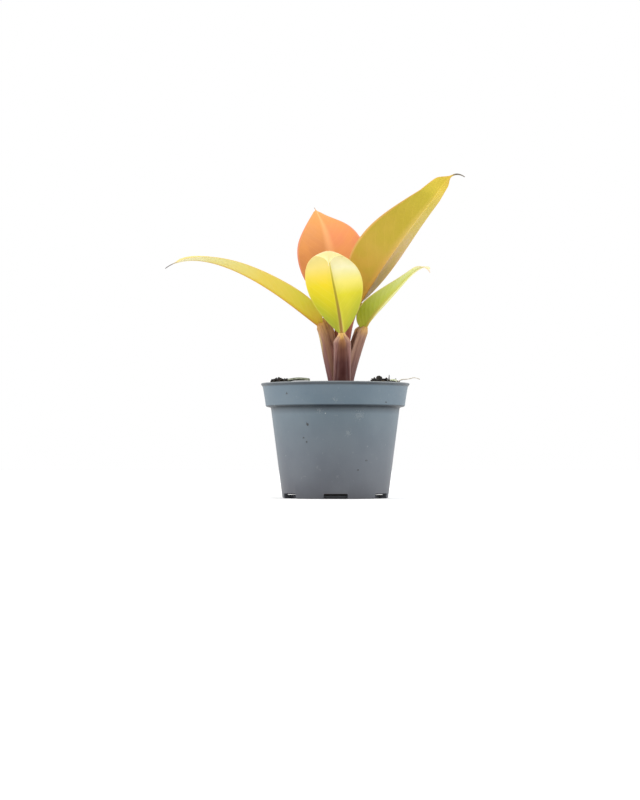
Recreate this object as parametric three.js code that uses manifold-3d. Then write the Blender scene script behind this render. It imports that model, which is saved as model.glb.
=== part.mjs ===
// A young prince of orange philodendron in a small moulded nursery pot.
// Millimetres, +Z up, the front is -Y, and the origin is the middle of the pot's underside.

import * as THREE from 'three';
import { mergeVertices } from 'three/addons/utils/BufferGeometryUtils.js';
import Module from 'manifold-3d';

const wasm = await Module();
wasm.setup();

// Clearance between pieces that touch on the real plant
const GAP = 0.3;

// Pot: radii and heights of its outside, and its wall
const POT_HEIGHT = 46.8;
const FOOT_RADIUS = 21.6;
const STEP_HEIGHT = 37;
const STEP_RADIUS = 26.3;
const BAND_BOTTOM = 38.7;
const BAND_RADIUS = 28.5;
const BAND_TOP = 45.3;
const BAND_TOP_RADIUS = 29.6;
const LIP_RADIUS = 30.3;
const WALL = 1;
const FLOOR = 1.3;
const NOTCHES = 6;
const NOTCH_WIDTH = 10.6;
const NOTCH_HEIGHT = 1.7;
const NOTCH_INNER_RADIUS = 17.4;
const POT_SIDES = 40;

// Soil: mean height of its surface, the heaps at the rim and the loose crumbs
const SOIL_TOP = 44.4;
const SOIL_LUMP = 0.45;
const HEAPS = [
  { x: -22, y: -13, height: 2.3, spread: 6 },
  { x: 18, y: -17, height: 2.3, spread: 6 },
  { x: 6, y: 19, height: 1.1, spread: 7 },
];
const LUMPS = [
  [-25.2, -7.5, 1.1], [-24, -10.8, 1.5], [-21.6, -14, 1.7], [-19.6, -17.2, 1.3],
  [15.4, -20.2, 1.3], [17.6, -18.4, 1.7], [20, -16.6, 1.3], [24, -9.6, 1.2],
];
const LUMP_HEIGHT = 47.3;
const CRUMBS = 34;
const CRUMB_SMALL = 0.8;
const CRUMB_LARGE = 1.7;
const CRUMBS_ON_HEAPS = 0.55;
const SLIVER = { x: 21.4, y: -15.2, radius: 0.5, length: 5, lean: 0.12, sunk: 0.6 };
const SEED = 7;

// Stem and roots
const BUNDLE_X = 2.3;
const BUNDLE_Y = 0.2;
const BUNDLE_RADIUS = 5.8;
const CROWN_TOP = 37;
const CROWN_BOTTOM = 28.5;
const CROWN_RADIUS = 4.6;
const CROWN_SIDES = 20;
const ROOTS = 5;
const ROOT_RADIUS = 1.5;
const ROOT_TAPER = 0.75;
const ROOT_REACH = 15;
const ROOT_END = 9;
const ROOT_STEPS = 6;
const ROOT_SIDES = 6;
const ROOT_SWINGS = [0.35, -0.3];

// Leaf blades
const BLADE_THICKNESS = 0.6;
const BLADE_ROWS = 24;
const BLADE_COLUMNS = [-1, -0.76, -0.52, -0.29, -0.1, 0, 0.1, 0.29, 0.52, 0.76, 1];
const BLADE_START = 0.03;
const TIP_HALF_WIDTH = 0.35;
const FOLD_ROUNDING = 0.05;
const SIDE_PHASE = 0.35;
const RIB_HEIGHT = 1;
const RIB_HALF_WIDTH = 1.3;

// Each leaf: the midrib's control points from neck to tip, the directions that the upper side faces,
// half the blade's width with the powers that round its base and taper its tip, the fold in degrees
// and the droop of the margins from base to tip, the wave of the margins, and the width of each side.
// Its stalk: where it stands on the crown, the bends on the way to the neck, and the half width,
// keel and inner depth of its section at the foot, along the sheath and at the neck.
const LEAVES = {
  front: {
    midrib: [[2.6, -8.2, 65.7], [1.8, -10, 80.7], [-4.6, -13, 97], [-3, -26, 106.3], [-2.9, -33, 92]],
    faces: [[0, 1, 0.13], [0.15, 0.62, 0.73], [-0.15, -0.29, 0.98]],
    halfWidth: 11.4, baseRound: 1.07, tipTaper: 1.78,
    fold: [16, -8, -3], droop: [0, 0.1, 0.7], wave: 0, waves: 2, sides: [1.04, 0.97],
    colour: '#e3d647',
    stalk: {
      foot: [2.6, -2.9], bends: [[2.6, -3.2, 49], [3.2, -6.3, 59]], faceAtFoot: [0, 1, 0],
      width: [3.6, 3.5, 1.4], keel: [1.7, 1.6, 1.1], inner: [0.9, 0.9, 0.9],
      shoulder: 0.84, wrap: 5.2, colour: '#6a4038',
    },
  },
  left: {
    midrib: [[-5.8, 3.8, 70.4], [-16.7, 4.4, 78.4], [-32.5, 0, 92.4], [-56.4, -5, 103.5],
      [-68.9, -8, 93.1]],
    faces: [[0.5, 0, 0.9], [0.31, -0.05, 1], [-0.33, -0.18, 0.99]],
    halfWidth: 12.7, baseRound: 0.54, tipTaper: 1.01,
    fold: [39, 17, 11], droop: [0], wave: 0.1, waves: 2, sides: [1, 1.02],
    colour: '#e6d25a',
    stalk: {
      foot: [0, 0.4], bends: [[0.5, 0.5, 47], [-5, 1.4, 58]], faceAtFoot: [1, 0, 0],
      width: [2.8, 2.7, 1.4], keel: [1.7, 1.9, 1.1], inner: [1.2, 3.2, 1.1],
      shoulder: 0.82, wrap: 6, colour: '#8a5b45',
    },
  },
  small: {
    midrib: [[11.9, 2, 68.8], [15.3, 1.5, 78.1], [26.2, -0.5, 84.2], [34.6, -3.5, 100.7],
      [38.4, -6.5, 91.6]],
    faces: [[-0.68, 0.58, 0.45], [-0.23, -0.09, 0.92], [0.39, -0.22, 0.93]],
    halfWidth: 10.1, baseRound: 0.57, tipTaper: 0.86,
    fold: [32, -6, 3], droop: [0], wave: 0.1, waves: 2, sides: [1.02, 1.06],
    colour: '#b5b43c',
    stalk: {
      foot: [4.6, 0.3], bends: [[4.6, 0.2, 47], [8.2, 0.6, 57]], faceAtFoot: [-1, 0.2, 0],
      width: [2.5, 2.4, 1.3], keel: [1.6, 1.7, 1.1], inner: [1, 2.4, 1.1],
      shoulder: 0.84, wrap: 6, colour: '#8f6a62',
    },
  },
  tall: {
    midrib: [[9.3, -0.5, 79.2], [13.5, -1.5, 83.6], [21.2, -5.5, 104.3], [38.9, -9, 114.2],
      [42.6, -13, 133.2], [52, -15, 129.4]],
    faces: [[-0.63, 0.67, 0.39], [-0.42, 0.72, 0.49], [-0.26, 0.5, 0.81]],
    halfWidth: 13.8, baseRound: 0.84, tipTaper: 1.54,
    fold: [34, 35, 2], droop: [0], wave: -1.3, waves: 1.3, sides: [0.97, 1.01],
    colour: '#b99a42',
    stalk: {
      foot: [3.2, 1.4], bends: [[3.8, 1.2, 55], [4.2, 0.8, 64], [5.2, 0.3, 72]], faceAtFoot: [-0.66, 0.75, 0],
      width: [1.5, 1.5, 1.3], keel: [1.3, 1.4, 1.1], inner: [0.9, 1, 1],
      shoulder: 0.9, wrap: 12, colour: '#9a5347',
    },
  },
  back: {
    midrib: [[1.2, 5.5, 78.8], [-2.2, 6, 90.9], [-0.5, 9, 105.6], [-4.8, 17, 113.7], [-8.6, 27, 121.7]],
    faces: [[0.05, -1, 0.09], [0.04, -1, 0.29], [0.25, -0.82, 1]],
    halfWidth: 14.7, baseRound: 0.82, tipTaper: 1.35,
    fold: [24, 20, -1], droop: [0], wave: -0.5, waves: 2, sides: [1.02, 1.02],
    colour: '#ee9f66',
    stalk: {
      foot: [1.6, 3.4], bends: [[1.5, 4.4, 55], [1.3, 5, 68]], faceAtFoot: [0, -1, 0],
      width: [2.6, 1.8, 1.3], keel: [1.3, 1.4, 1.1], inner: [0.8, 1, 1],
      shoulder: 0.7, wrap: 8, colour: '#a0594a',
    },
  },
};
const STALK_ROWS = 12;
const STALK_SIDES = 14;
const STALK_OVERRUN = 1;
const NECK_LEAD = 2.5;

// Pieces that lie on the rim at the front
const OLIVE_FLAKE = {
  x: -14.6, y: -24.6, height: POT_HEIGHT + 0.85, length: 9.4, width: 3.4, thickness: 0.7, turn: -31, tilt: 0,
};
const PALE_FLAKE = {
  x: 22.6, y: -12.6, height: 47.3, length: 4.2, width: 2.6, thickness: 0.7, turn: -25, tilt: -6,
};
const FIBRE_RADIUS = 0.3;
const FIBRE_ROUTE = [
  [24.2, -3.4, 45.2], [26.2, -3.2, 47.9], [29.8, -3, 48.5], [32.2, -2.7, 49], [34.4, -2.4, 48.4],
];

// Seeded sequence of numbers from 0 to 1
const MULTIPLIER = 1664525;
const INCREMENT = 1013904223;
const RANGE = 2 ** 32;

const vector = ([x, y, z]) => new THREE.Vector3(x, y, z);
const radians = THREE.MathUtils.degToRad;

function seededRandom(seed) {
  let state = seed;
  return () => {
    state = (state * MULTIPLIER + INCREMENT) % RANGE;
    return state / RANGE;
  };
}

// Point at t on a Bezier curve with any number of control points, by repeated halving
function bezier(points, t) {
  let level = points;
  while (level.length > 1) {
    level = level.slice(1).map((point, i) => level[i].clone().lerp(point, t));
  }
  return level[0].clone();
}

function bezierValue(values, t) {
  let level = values;
  while (level.length > 1) {
    level = level.slice(1).map((value, i) => THREE.MathUtils.lerp(level[i], value, t));
  }
  return level[0];
}

// Place on a path with its directions along, across and up, where faces steer the upper side
function frameOn(path, faces, t) {
  const step = 0.001;
  const ahead = bezier(path, Math.min(t + step, 1));
  const behind = bezier(path, Math.max(t - step, 0));
  const along = ahead.sub(behind).normalize();
  const across = along.clone().cross(bezier(faces, t)).normalize();
  const up = across.clone().cross(along);
  return { at: bezier(path, t), along, across, up };
}

function geometryOf(points, triangles) {
  const geometry = new THREE.BufferGeometry();
  geometry.setAttribute('position', new THREE.Float32BufferAttribute(points.flatMap((p) => p.toArray()), 3));
  geometry.setIndex(triangles.flat());
  return geometry;
}

// Thin closed sheet whose two faces are split into triangles alike
function sheet(rows, columns, place) {
  const points = [];
  const index = (i, j, face) => (i * (columns + 1) + j) * 2 + face;
  for (let i = 0; i <= rows; i += 1) {
    for (let j = 0; j <= columns; j += 1) {
      points.push(place(i, j, 0), place(i, j, 1));
    }
  }
  const triangles = [];
  const quad = (a, b, c, d) => triangles.push([a, b, c], [a, c, d]);
  for (let i = 0; i < rows; i += 1) {
    for (let j = 0; j < columns; j += 1) {
      const [a, b, c, d] = [[i, j], [i, j + 1], [i + 1, j + 1], [i + 1, j]];
      triangles.push([index(...a, 1), index(...b, 1), index(...c, 1)]);
      triangles.push([index(...a, 1), index(...c, 1), index(...d, 1)]);
      triangles.push([index(...a, 0), index(...c, 0), index(...b, 0)]);
      triangles.push([index(...a, 0), index(...d, 0), index(...c, 0)]);
    }
    quad(index(i, 0, 0), index(i, 0, 1), index(i + 1, 0, 1), index(i + 1, 0, 0));
    quad(index(i, columns, 1), index(i, columns, 0), index(i + 1, columns, 0), index(i + 1, columns, 1));
  }
  for (let j = 0; j < columns; j += 1) {
    quad(index(0, j, 0), index(0, j + 1, 0), index(0, j + 1, 1), index(0, j, 1));
    quad(index(rows, j, 1), index(rows, j + 1, 1), index(rows, j + 1, 0), index(rows, j, 0));
  }
  return geometryOf(points, triangles);
}

// Closed skin over a row of rings, each running from across to up, with a fan of triangles at each end
function loft(rings) {
  const sides = rings[0].length;
  const points = rings.flat();
  const triangles = [];
  for (let i = 0; i + 1 < rings.length; i += 1) {
    for (let k = 0; k < sides; k += 1) {
      const a = i * sides + k;
      const b = i * sides + ((k + 1) % sides);
      triangles.push([a, b + sides, b], [a, a + sides, b + sides]);
    }
  }
  const middle = (ring) => ring.reduce((sum, p) => sum.add(p), new THREE.Vector3()).divideScalar(sides);
  const first = points.push(middle(rings[0])) - 1;
  const last = points.push(middle(rings[rings.length - 1])) - 1;
  const lastRing = (rings.length - 1) * sides;
  for (let k = 0; k < sides; k += 1) {
    const next = (k + 1) % sides;
    triangles.push([first, k, next], [last, lastRing + next, lastRing + k]);
  }
  return geometryOf(points, triangles);
}

function solidOf(geometry) {
  const bare = geometry.clone();
  bare.deleteAttribute('normal');
  bare.deleteAttribute('uv');
  const merged = mergeVertices(bare, 1e-4);
  return new wasm.Manifold(new wasm.Mesh({
    numProp: 3,
    vertProperties: new Float32Array(merged.attributes.position.array),
    triVerts: new Uint32Array(merged.index.array),
  }));
}

function geometryFrom(solid) {
  const mesh = solid.getMesh();
  const geometry = new THREE.BufferGeometry();
  geometry.setAttribute('position', new THREE.BufferAttribute(mesh.vertProperties, 3));
  geometry.setIndex(new THREE.BufferAttribute(mesh.triVerts, 1));
  return geometry;
}

function turned(profile, sides) {
  const points = profile.map(([radius, height]) => new THREE.Vector2(radius, height));
  return new THREE.LatheGeometry(points, sides).rotateX(Math.PI / 2);
}

// Pot
function potGeometry() {
  const profile = [
    [0, 0], [FOOT_RADIUS - 0.7, 0], [FOOT_RADIUS, 0.5],
    [STEP_RADIUS, STEP_HEIGHT], [BAND_RADIUS - 0.6, STEP_HEIGHT + 0.5], [BAND_RADIUS, BAND_BOTTOM],
    [BAND_TOP_RADIUS, BAND_TOP], [LIP_RADIUS - 0.1, BAND_TOP + 0.9], [LIP_RADIUS, POT_HEIGHT - 0.3],
    [LIP_RADIUS - 0.4, POT_HEIGHT], [LIP_RADIUS - 1.4, POT_HEIGHT - 0.5],
    [BAND_TOP_RADIUS - WALL, BAND_TOP - 0.4], [BAND_RADIUS - WALL, BAND_BOTTOM + 0.3],
    [STEP_RADIUS - WALL, STEP_HEIGHT + 0.3], [FOOT_RADIUS - WALL, FLOOR], [0, FLOOR],
  ];
  let pot = solidOf(turned(profile, POT_SIDES));
  const reach = FOOT_RADIUS + 2 - NOTCH_INNER_RADIUS;
  for (let i = 0; i < NOTCHES; i += 1) {
    const notch = new THREE.BoxGeometry(reach, NOTCH_WIDTH, NOTCH_HEIGHT + 1);
    notch.translate(NOTCH_INNER_RADIUS + reach / 2, 0, (NOTCH_HEIGHT - 1) / 2);
    notch.rotateZ((2 * Math.PI * i) / NOTCHES - Math.PI / 2);
    pot = pot.subtract(solidOf(notch));
  }
  return geometryFrom(pot);
}

// Stem and roots, grown by the clearance where they are the hole in the soil
function crownSolid(clearance) {
  const radius = CROWN_RADIUS + clearance;
  const profile = [
    [0, CROWN_BOTTOM - clearance], [radius * 0.6, CROWN_BOTTOM - clearance],
    [radius * 0.92, CROWN_BOTTOM + 2.5], [radius, CROWN_TOP - 1.5],
    [radius, CROWN_TOP], [0, CROWN_TOP],
  ];
  let crown = solidOf(turned(profile, CROWN_SIDES).translate(BUNDLE_X, BUNDLE_Y, 0));
  for (let i = 0; i < ROOTS; i += 1) {
    const angle = (2 * Math.PI * (i + 0.5)) / ROOTS;
    const swing = ROOT_SWINGS[i % 2];
    const out = (distance, turn, height) => new THREE.Vector3(
      BUNDLE_X * (1 - distance / ROOT_REACH) + distance * Math.cos(angle + turn),
      BUNDLE_Y * (1 - distance / ROOT_REACH) + distance * Math.sin(angle + turn),
      height,
    );
    const path = [
      out(1.5, 0, CROWN_BOTTOM + 4.5), out(8, 0, CROWN_BOTTOM + 1),
      out(13, swing, CROWN_BOTTOM - 9), out(ROOT_REACH, swing, ROOT_END),
    ];
    const faces = [new THREE.Vector3(0, 0, 1), new THREE.Vector3(Math.cos(angle), Math.sin(angle), 0)];
    const rings = [];
    for (let row = 0; row <= ROOT_STEPS; row += 1) {
      const t = row / ROOT_STEPS;
      const { at, across, up } = frameOn(path, faces, t);
      const size = ROOT_RADIUS * (1 - ROOT_TAPER * t) + clearance;
      const end = row === ROOT_STEPS ? clearance : 0;
      const ring = [];
      for (let k = 0; k < ROOT_SIDES; k += 1) {
        const turn = (2 * Math.PI * k) / ROOT_SIDES;
        ring.push(at.clone()
          .addScaledVector(across, size * Math.cos(turn))
          .addScaledVector(up, size * Math.sin(turn))
          .add(new THREE.Vector3(0, 0, -end)));
      }
      rings.push(ring);
    }
    crown = crown.add(solidOf(loft(rings)));
  }
  return crown;
}

// Soil
function soilSurface(x, y) {
  const lumps = Math.sin(x * 0.55 + 1.3) * Math.cos(y * 0.48 - 0.4) + 0.6 * Math.sin(x * 1.1 - y * 0.9);
  const heaped = HEAPS.reduce((sum, heap) => {
    const away = Math.hypot(x - heap.x, y - heap.y) / heap.spread;
    return sum + heap.height * Math.exp(-away * away);
  }, 0);
  return SOIL_TOP + SOIL_LUMP * lumps + heaped;
}

function soilGeometry(crownHole) {
  const wallAt = (height) => {
    const part = (height - FLOOR) / (STEP_HEIGHT + 0.3 - FLOOR);
    return THREE.MathUtils.lerp(FOOT_RADIUS, STEP_RADIUS, part) - WALL - GAP * 1.2;
  };
  const edge = BAND_TOP_RADIUS - WALL - GAP * 2.4;
  const rings = [edge, 23, 18.5, 14, 9.5].map((radius) => [radius, SOIL_TOP]);
  const profile = [
    [0, FLOOR + GAP], [wallAt(FLOOR + GAP), FLOOR + GAP], [wallAt(STEP_HEIGHT), STEP_HEIGHT + GAP * 2],
    [BAND_RADIUS - WALL - GAP * 1.5, BAND_BOTTOM + GAP * 2.5], ...rings, [0, SOIL_TOP],
  ];
  const body = turned(profile, POT_SIDES);
  const place = body.attributes.position;
  for (let i = 0; i < place.count; i += 1) {
    if (place.getZ(i) > SOIL_TOP - 0.01) {
      place.setZ(i, soilSurface(place.getX(i), place.getY(i)));
    }
  }
  let soil = solidOf(body);

  const random = seededRandom(SEED);
  for (let i = 0; i < CRUMBS; i += 1) {
    const size = THREE.MathUtils.lerp(CRUMB_SMALL, CRUMB_LARGE, random() ** 1.6);
    const heap = HEAPS[i % 2];
    const nearHeap = i < CRUMBS * CRUMBS_ON_HEAPS;
    const angle = random() * 2 * Math.PI;
    const away = nearHeap ? heap.spread * 0.75 * Math.sqrt(random()) : 7 + 18 * Math.sqrt(random());
    let x = (nearHeap ? heap.x : 0) + away * Math.cos(angle);
    let y = (nearHeap ? heap.y : 0) + away * Math.sin(angle);
    const outside = Math.hypot(x, y) / (edge - size - 0.2);
    if (outside > 1) {
      x /= outside;
      y /= outside;
    }
    const crumb = new THREE.IcosahedronGeometry(size, 0);
    crumb.scale(1, 0.75 + 0.3 * random(), 0.65 + 0.3 * random());
    crumb.rotateX(random() * 3);
    crumb.rotateZ(random() * 6);
    crumb.translate(x, y, soilSurface(x, y) + size * 0.3);
    if (Math.hypot(x - BUNDLE_X, y - BUNDLE_Y) > BUNDLE_RADIUS + size + 0.4) {
      soil = soil.add(solidOf(crumb));
    }
  }

  for (const [x, y, size] of LUMPS) {
    const lump = new THREE.DodecahedronGeometry(size, 0).rotateX(x).rotateZ(y);
    soil = soil.add(solidOf(lump.translate(x, y, LUMP_HEIGHT)));
  }

  const sliver = new THREE.ConeGeometry(SLIVER.radius, SLIVER.length, 5).rotateX(Math.PI / 2 - SLIVER.lean);
  const sliverHeight = soilSurface(SLIVER.x, SLIVER.y) + SLIVER.length / 2 - SLIVER.sunk;
  soil = soil.add(solidOf(sliver.translate(SLIVER.x, SLIVER.y, sliverHeight)));

  const holeLength = 30;
  const hole = new THREE.CylinderGeometry(BUNDLE_RADIUS + GAP, BUNDLE_RADIUS + GAP, holeLength, 24);
  hole.rotateX(Math.PI / 2).translate(BUNDLE_X, BUNDLE_Y, CROWN_TOP - 1 + holeLength / 2);
  const cut = soil.subtract(solidOf(hole)).subtract(crownHole);
  const [largest] = cut.decompose().sort((a, b) => b.volume() - a.volume());
  return geometryFrom(largest);
}

// Blade of a leaf
function bladeGeometry(leaf) {
  const midrib = leaf.midrib.map(vector);
  const faces = leaf.faces.map((face) => vector(face).normalize());
  const widest = leaf.baseRound / (leaf.baseRound + leaf.tipTaper);
  const outline = (s) => s ** leaf.baseRound * (1 - s) ** leaf.tipTaper;
  const place = (i, j, face) => {
    const s = i / BLADE_ROWS;
    const v = BLADE_COLUMNS[j];
    const { at, across, up } = frameOn(midrib, faces, s);
    const grown = (leaf.halfWidth * outline(BLADE_START + s * (1 - BLADE_START))) / outline(widest);
    const half = Math.max(grown, TIP_HALF_WIDTH);
    const side = half * leaf.sides[v < 0 ? 0 : 1];
    const fold = radians(bezierValue(leaf.fold, s));
    const rounded = Math.hypot(v, FOLD_ROUNDING) - FOLD_ROUNDING;
    const turn = 2 * Math.PI * (leaf.waves * s + (v > 0 ? SIDE_PHASE : 0));
    const wave = leaf.wave * v * v * Math.sin(turn) * Math.sin(Math.PI * s);
    const lift = side * (rounded * Math.sin(fold) - bezierValue(leaf.droop, s) * v * v) + wave;
    const ribHalf = RIB_HALF_WIDTH * (1 - 0.6 * s);
    const ribHeight = RIB_HEIGHT * (1 - 0.75 * s) * (half > 1 ? 1 : half);
    const rib = ribHeight * Math.max(0, 1 - ((v * side) / ribHalf) ** 2);
    const offset = face === 1 ? BLADE_THICKNESS / 2 : -BLADE_THICKNESS / 2 - rib;
    return at
      .addScaledVector(across, v * side * Math.cos(fold))
      .addScaledVector(up, lift + offset);
  };
  return sheet(BLADE_ROWS, BLADE_COLUMNS.length - 1, place);
}

// Stalk with its sheath, from the crown to the neck under the blade. With a clearance it is the
// space that the stalks inside it keep free, and runs on a little at both ends.
function stalkSolid(leaf, clearance) {
  const { stalk } = leaf;
  const faces = leaf.faces.map((face) => vector(face).normalize());
  const start = frameOn(leaf.midrib.map(vector), faces, 0);
  const neck = start.at.clone().addScaledVector(start.along, -GAP);
  const lead = neck.clone().addScaledVector(start.along, -NECK_LEAD);
  const foot = new THREE.Vector3(...stalk.foot, CROWN_TOP + GAP * 1.4);
  const path = [foot, ...stalk.bends.map(vector), lead, neck];
  const turns = [vector(stalk.faceAtFoot).normalize(), faces[0]];
  const sized = ([atFoot, sheath, atNeck], t) => {
    const lower = THREE.MathUtils.lerp(atFoot, sheath, Math.min(t / 0.5, 1));
    return THREE.MathUtils.lerp(lower, atNeck, THREE.MathUtils.smoothstep(t, stalk.shoulder, 1));
  };
  const rings = [];
  for (let row = 0; row <= STALK_ROWS; row += 1) {
    const t = 1 - (1 - row / STALK_ROWS) ** 1.5;
    const { at, across, up } = frameOn(path, turns, t);
    const width = sized(stalk.width, t) + clearance;
    const keel = sized(stalk.keel, t) + clearance;
    const inner = sized(stalk.inner, t) + clearance;
    const curl = (u) => stalk.wrap - Math.sqrt(stalk.wrap ** 2 - u * u);
    const ring = [];
    for (let k = 0; k < STALK_SIDES; k += 1) {
      const turn = (2 * Math.PI * k) / STALK_SIDES;
      const u = width * Math.cos(turn);
      const deep = Math.sin(turn) > 0 ? inner : keel;
      ring.push(at.clone()
        .addScaledVector(across, u)
        .addScaledVector(up, deep * Math.sin(turn) + curl(u)));
    }
    rings.push(ring);
  }
  if (clearance > 0) {
    rings.unshift(rings[0].map((point) => point.clone().add(new THREE.Vector3(0, 0, -STALK_OVERRUN))));
    rings.push(rings.at(-1).map((point) => point.clone().addScaledVector(start.along, STALK_OVERRUN)));
  }
  return solidOf(loft(rings));
}

// Thin flake lying at a place, arched a little along its length
function flakeGeometry(flake) {
  const rows = 6;
  const columns = 4;
  const place = (i, j, face) => {
    const along = (2 * i) / rows - 1;
    const across = (2 * j) / columns - 1;
    const half = (flake.width / 2) * (1 - 0.55 * along ** 2) * (1 + 0.12 * Math.sin(5 * along + 1));
    return new THREE.Vector3(
      (flake.length / 2) * along,
      -half * across,
      (face - 0.5) * flake.thickness + 0.35 * (1 - along ** 2) - 0.2 * across ** 2,
    );
  };
  const geometry = sheet(rows, columns, place);
  geometry.rotateY(radians(flake.tilt));
  geometry.rotateZ(radians(flake.turn));
  return geometry.translate(flake.x, flake.y, flake.height);
}

function fibreGeometry() {
  const route = new THREE.CatmullRomCurve3(FIBRE_ROUTE.map(vector));
  const section = new THREE.Shape().absarc(0, 0, FIBRE_RADIUS, 0, 2 * Math.PI, false);
  return new THREE.ExtrudeGeometry(section, {
    extrudePath: route, steps: 9, curveSegments: 3, bevelEnabled: false,
  });
}

const plant = new THREE.Group();

function addPiece(name, geometry, colour, roughness) {
  const material = new THREE.MeshStandardMaterial({ color: colour, roughness, metalness: 0 });
  const mesh = new THREE.Mesh(geometry, material);
  mesh.name = name;
  plant.add(mesh);
}

addPiece('pot', potGeometry(), '#78828d', 0.5);
addPiece('soil', soilGeometry(crownSolid(GAP)), '#2b2a28', 0.95);
addPiece('crown_and_roots', geometryFrom(crownSolid(0)), '#b79a73', 0.8);

// An outer sheath lies over the stalks inside it, so each stalk is cut clear of those before it
const outer = [];
for (const name of ['front', 'left', 'small', 'tall', 'back']) {
  const leaf = LEAVES[name];
  const stalk = outer.reduce((left, other) => left.subtract(other), stalkSolid(leaf, 0));
  const [largest] = stalk.decompose().sort((a, b) => b.volume() - a.volume());
  outer.push(stalkSolid(leaf, GAP));
  addPiece(`petiole_${name}`, geometryFrom(largest), leaf.stalk.colour, 0.5);
  addPiece(`blade_${name}`, bladeGeometry(leaf), leaf.colour, 0.4);
}

addPiece('flake_olive', flakeGeometry(OLIVE_FLAKE), '#7e8373', 0.9);
addPiece('flake_pale', flakeGeometry(PALE_FLAKE), '#dfe2c6', 0.9);
addPiece('root_fibre', fibreGeometry(), '#c9c0ae', 0.9);

export default plant;
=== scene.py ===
# %% [markdown]
# # A young philodendron in its nursery pot
# The solids of this plant were built elsewhere, with every leaf, stalk and the pot in its place. Here
# we give them their looks. Leaves, stalks, soil and pot are made again as finer meshes in the same
# places, and each gets a material built from nodes. Everything is in metres, with the front at -Y.

# %% Load the frame
import math
import random

import bpy
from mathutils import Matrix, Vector, noise


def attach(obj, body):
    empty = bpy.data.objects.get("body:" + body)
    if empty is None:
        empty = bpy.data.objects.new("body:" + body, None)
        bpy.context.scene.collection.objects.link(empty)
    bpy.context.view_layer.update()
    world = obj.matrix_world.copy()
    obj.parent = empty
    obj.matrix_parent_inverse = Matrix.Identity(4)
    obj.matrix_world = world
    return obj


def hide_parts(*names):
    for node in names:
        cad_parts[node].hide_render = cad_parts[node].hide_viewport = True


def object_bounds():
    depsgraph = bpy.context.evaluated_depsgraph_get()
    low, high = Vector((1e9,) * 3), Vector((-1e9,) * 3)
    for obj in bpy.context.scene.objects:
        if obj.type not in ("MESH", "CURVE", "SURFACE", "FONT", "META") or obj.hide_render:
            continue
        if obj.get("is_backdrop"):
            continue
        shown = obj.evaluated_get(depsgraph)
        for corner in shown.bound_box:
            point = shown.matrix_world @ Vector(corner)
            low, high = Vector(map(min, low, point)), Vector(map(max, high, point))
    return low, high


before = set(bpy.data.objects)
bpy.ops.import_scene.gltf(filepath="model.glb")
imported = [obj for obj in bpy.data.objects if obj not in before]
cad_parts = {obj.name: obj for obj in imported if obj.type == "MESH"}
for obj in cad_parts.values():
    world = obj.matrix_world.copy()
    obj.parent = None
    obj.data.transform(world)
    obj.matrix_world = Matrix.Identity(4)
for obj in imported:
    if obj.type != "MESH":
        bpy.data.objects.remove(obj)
solid_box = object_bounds()
MM = 0.001
print("solids:", len(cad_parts))

# %% [markdown]
# ## The view
# The photograph was taken from almost level with the foot of the pot, from about 0.9 m away with a
# long lens, tipped up a little. A long lens keeps the near and the far rim nearly the same size. The
# focal length is given for a sensor whose long side is 36 mm.

# %% Camera
CAMERA_PLACE = (-6.24 * MM, -900 * MM, 16 * MM)
CAMERA_TIP = math.radians(90 + 1.528)
FOCAL_PIXELS = 2206
IMAGE_HEIGHT = 800
SENSOR = 36

bpy.ops.object.select_all(action="DESELECT")
bpy.ops.object.camera_add(location=CAMERA_PLACE, rotation=(CAMERA_TIP, 0, 0))
camera = bpy.context.object
camera.name = "camera"
camera.data.sensor_width = SENSOR
camera.data.lens = FOCAL_PIXELS / IMAGE_HEIGHT * SENSOR
camera.data.clip_start = 0.01
camera.data.clip_end = 20
bpy.context.scene.camera = camera
bpy.context.scene.view_settings.view_transform = "Standard"
print("focal length", round(camera.data.lens, 1), "mm")

# %% [markdown]
# ## The studio
# The photograph has a pure white background, so the air round the plant is plain white light and
# the floor is a wide, very pale disc. Where the two meet they are equally bright, so no line shows.

# %% Helpers for selecting
def select_only(*pieces):
    """Selects these pieces and nothing else. The last one becomes the active piece."""
    bpy.ops.object.select_all(action="DESELECT")
    for piece in pieces:
        piece.select_set(True)
        bpy.context.view_layer.objects.active = piece


def edit(piece):
    """Opens a piece in edit mode with all of it selected."""
    select_only(piece)
    bpy.ops.object.mode_set(mode="EDIT")
    bpy.ops.mesh.select_all(action="SELECT")


# %% Floor
FLOOR_RADIUS = 2
FLOOR_INSET = 1.6

bpy.ops.object.select_all(action="DESELECT")
bpy.ops.mesh.primitive_circle_add(vertices=96, radius=FLOOR_RADIUS, fill_type="NGON")
floor = bpy.context.object
floor.name = "studio_floor"
edit(floor)
bpy.ops.mesh.inset(thickness=FLOOR_INSET, depth=0)
bpy.ops.object.mode_set(mode="OBJECT")
floor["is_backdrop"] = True
print("floor of", FLOOR_RADIUS, "m radius")

# %% [markdown]
# ## The light
# White air lights the plant from all round, and broad lamps add form to it. The brightest ones stand at
# the two sides, because the photograph's pot is paler at both edges than in the middle. A smaller one
# at the upper right in front gives the gloss on the front leaf.

# %% Lamps
LAMPS = [
    ("key", (1.0, -1.5, 1.6), 0.9, 9, (1, 0.99, 0.97)),
    ("left", (-2.1, -0.25, 0.6), 1.3, 30, (0.98, 0.99, 1)),
    ("right", (2.1, -0.15, 0.5), 1.3, 25, (0.98, 0.99, 1)),
    ("top", (-0.1, 0.1, 2.2), 1.5, 5, (1, 1, 1)),
    ("rear", (0.2, 2.0, 1.2), 1.5, 5, (1, 1, 1)),
]
AIM = Vector((0, 0, 0.07))

for name, place, size, watts, colour in LAMPS:
    toward = (AIM - Vector(place)).to_track_quat("-Z", "Y").to_euler()
    bpy.ops.object.light_add(type="AREA", location=place, rotation=toward)
    lamp = bpy.context.object
    lamp.name = "lamp_" + name
    lamp.data.size = size
    lamp.data.energy = watts
    lamp.data.color = colour

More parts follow.
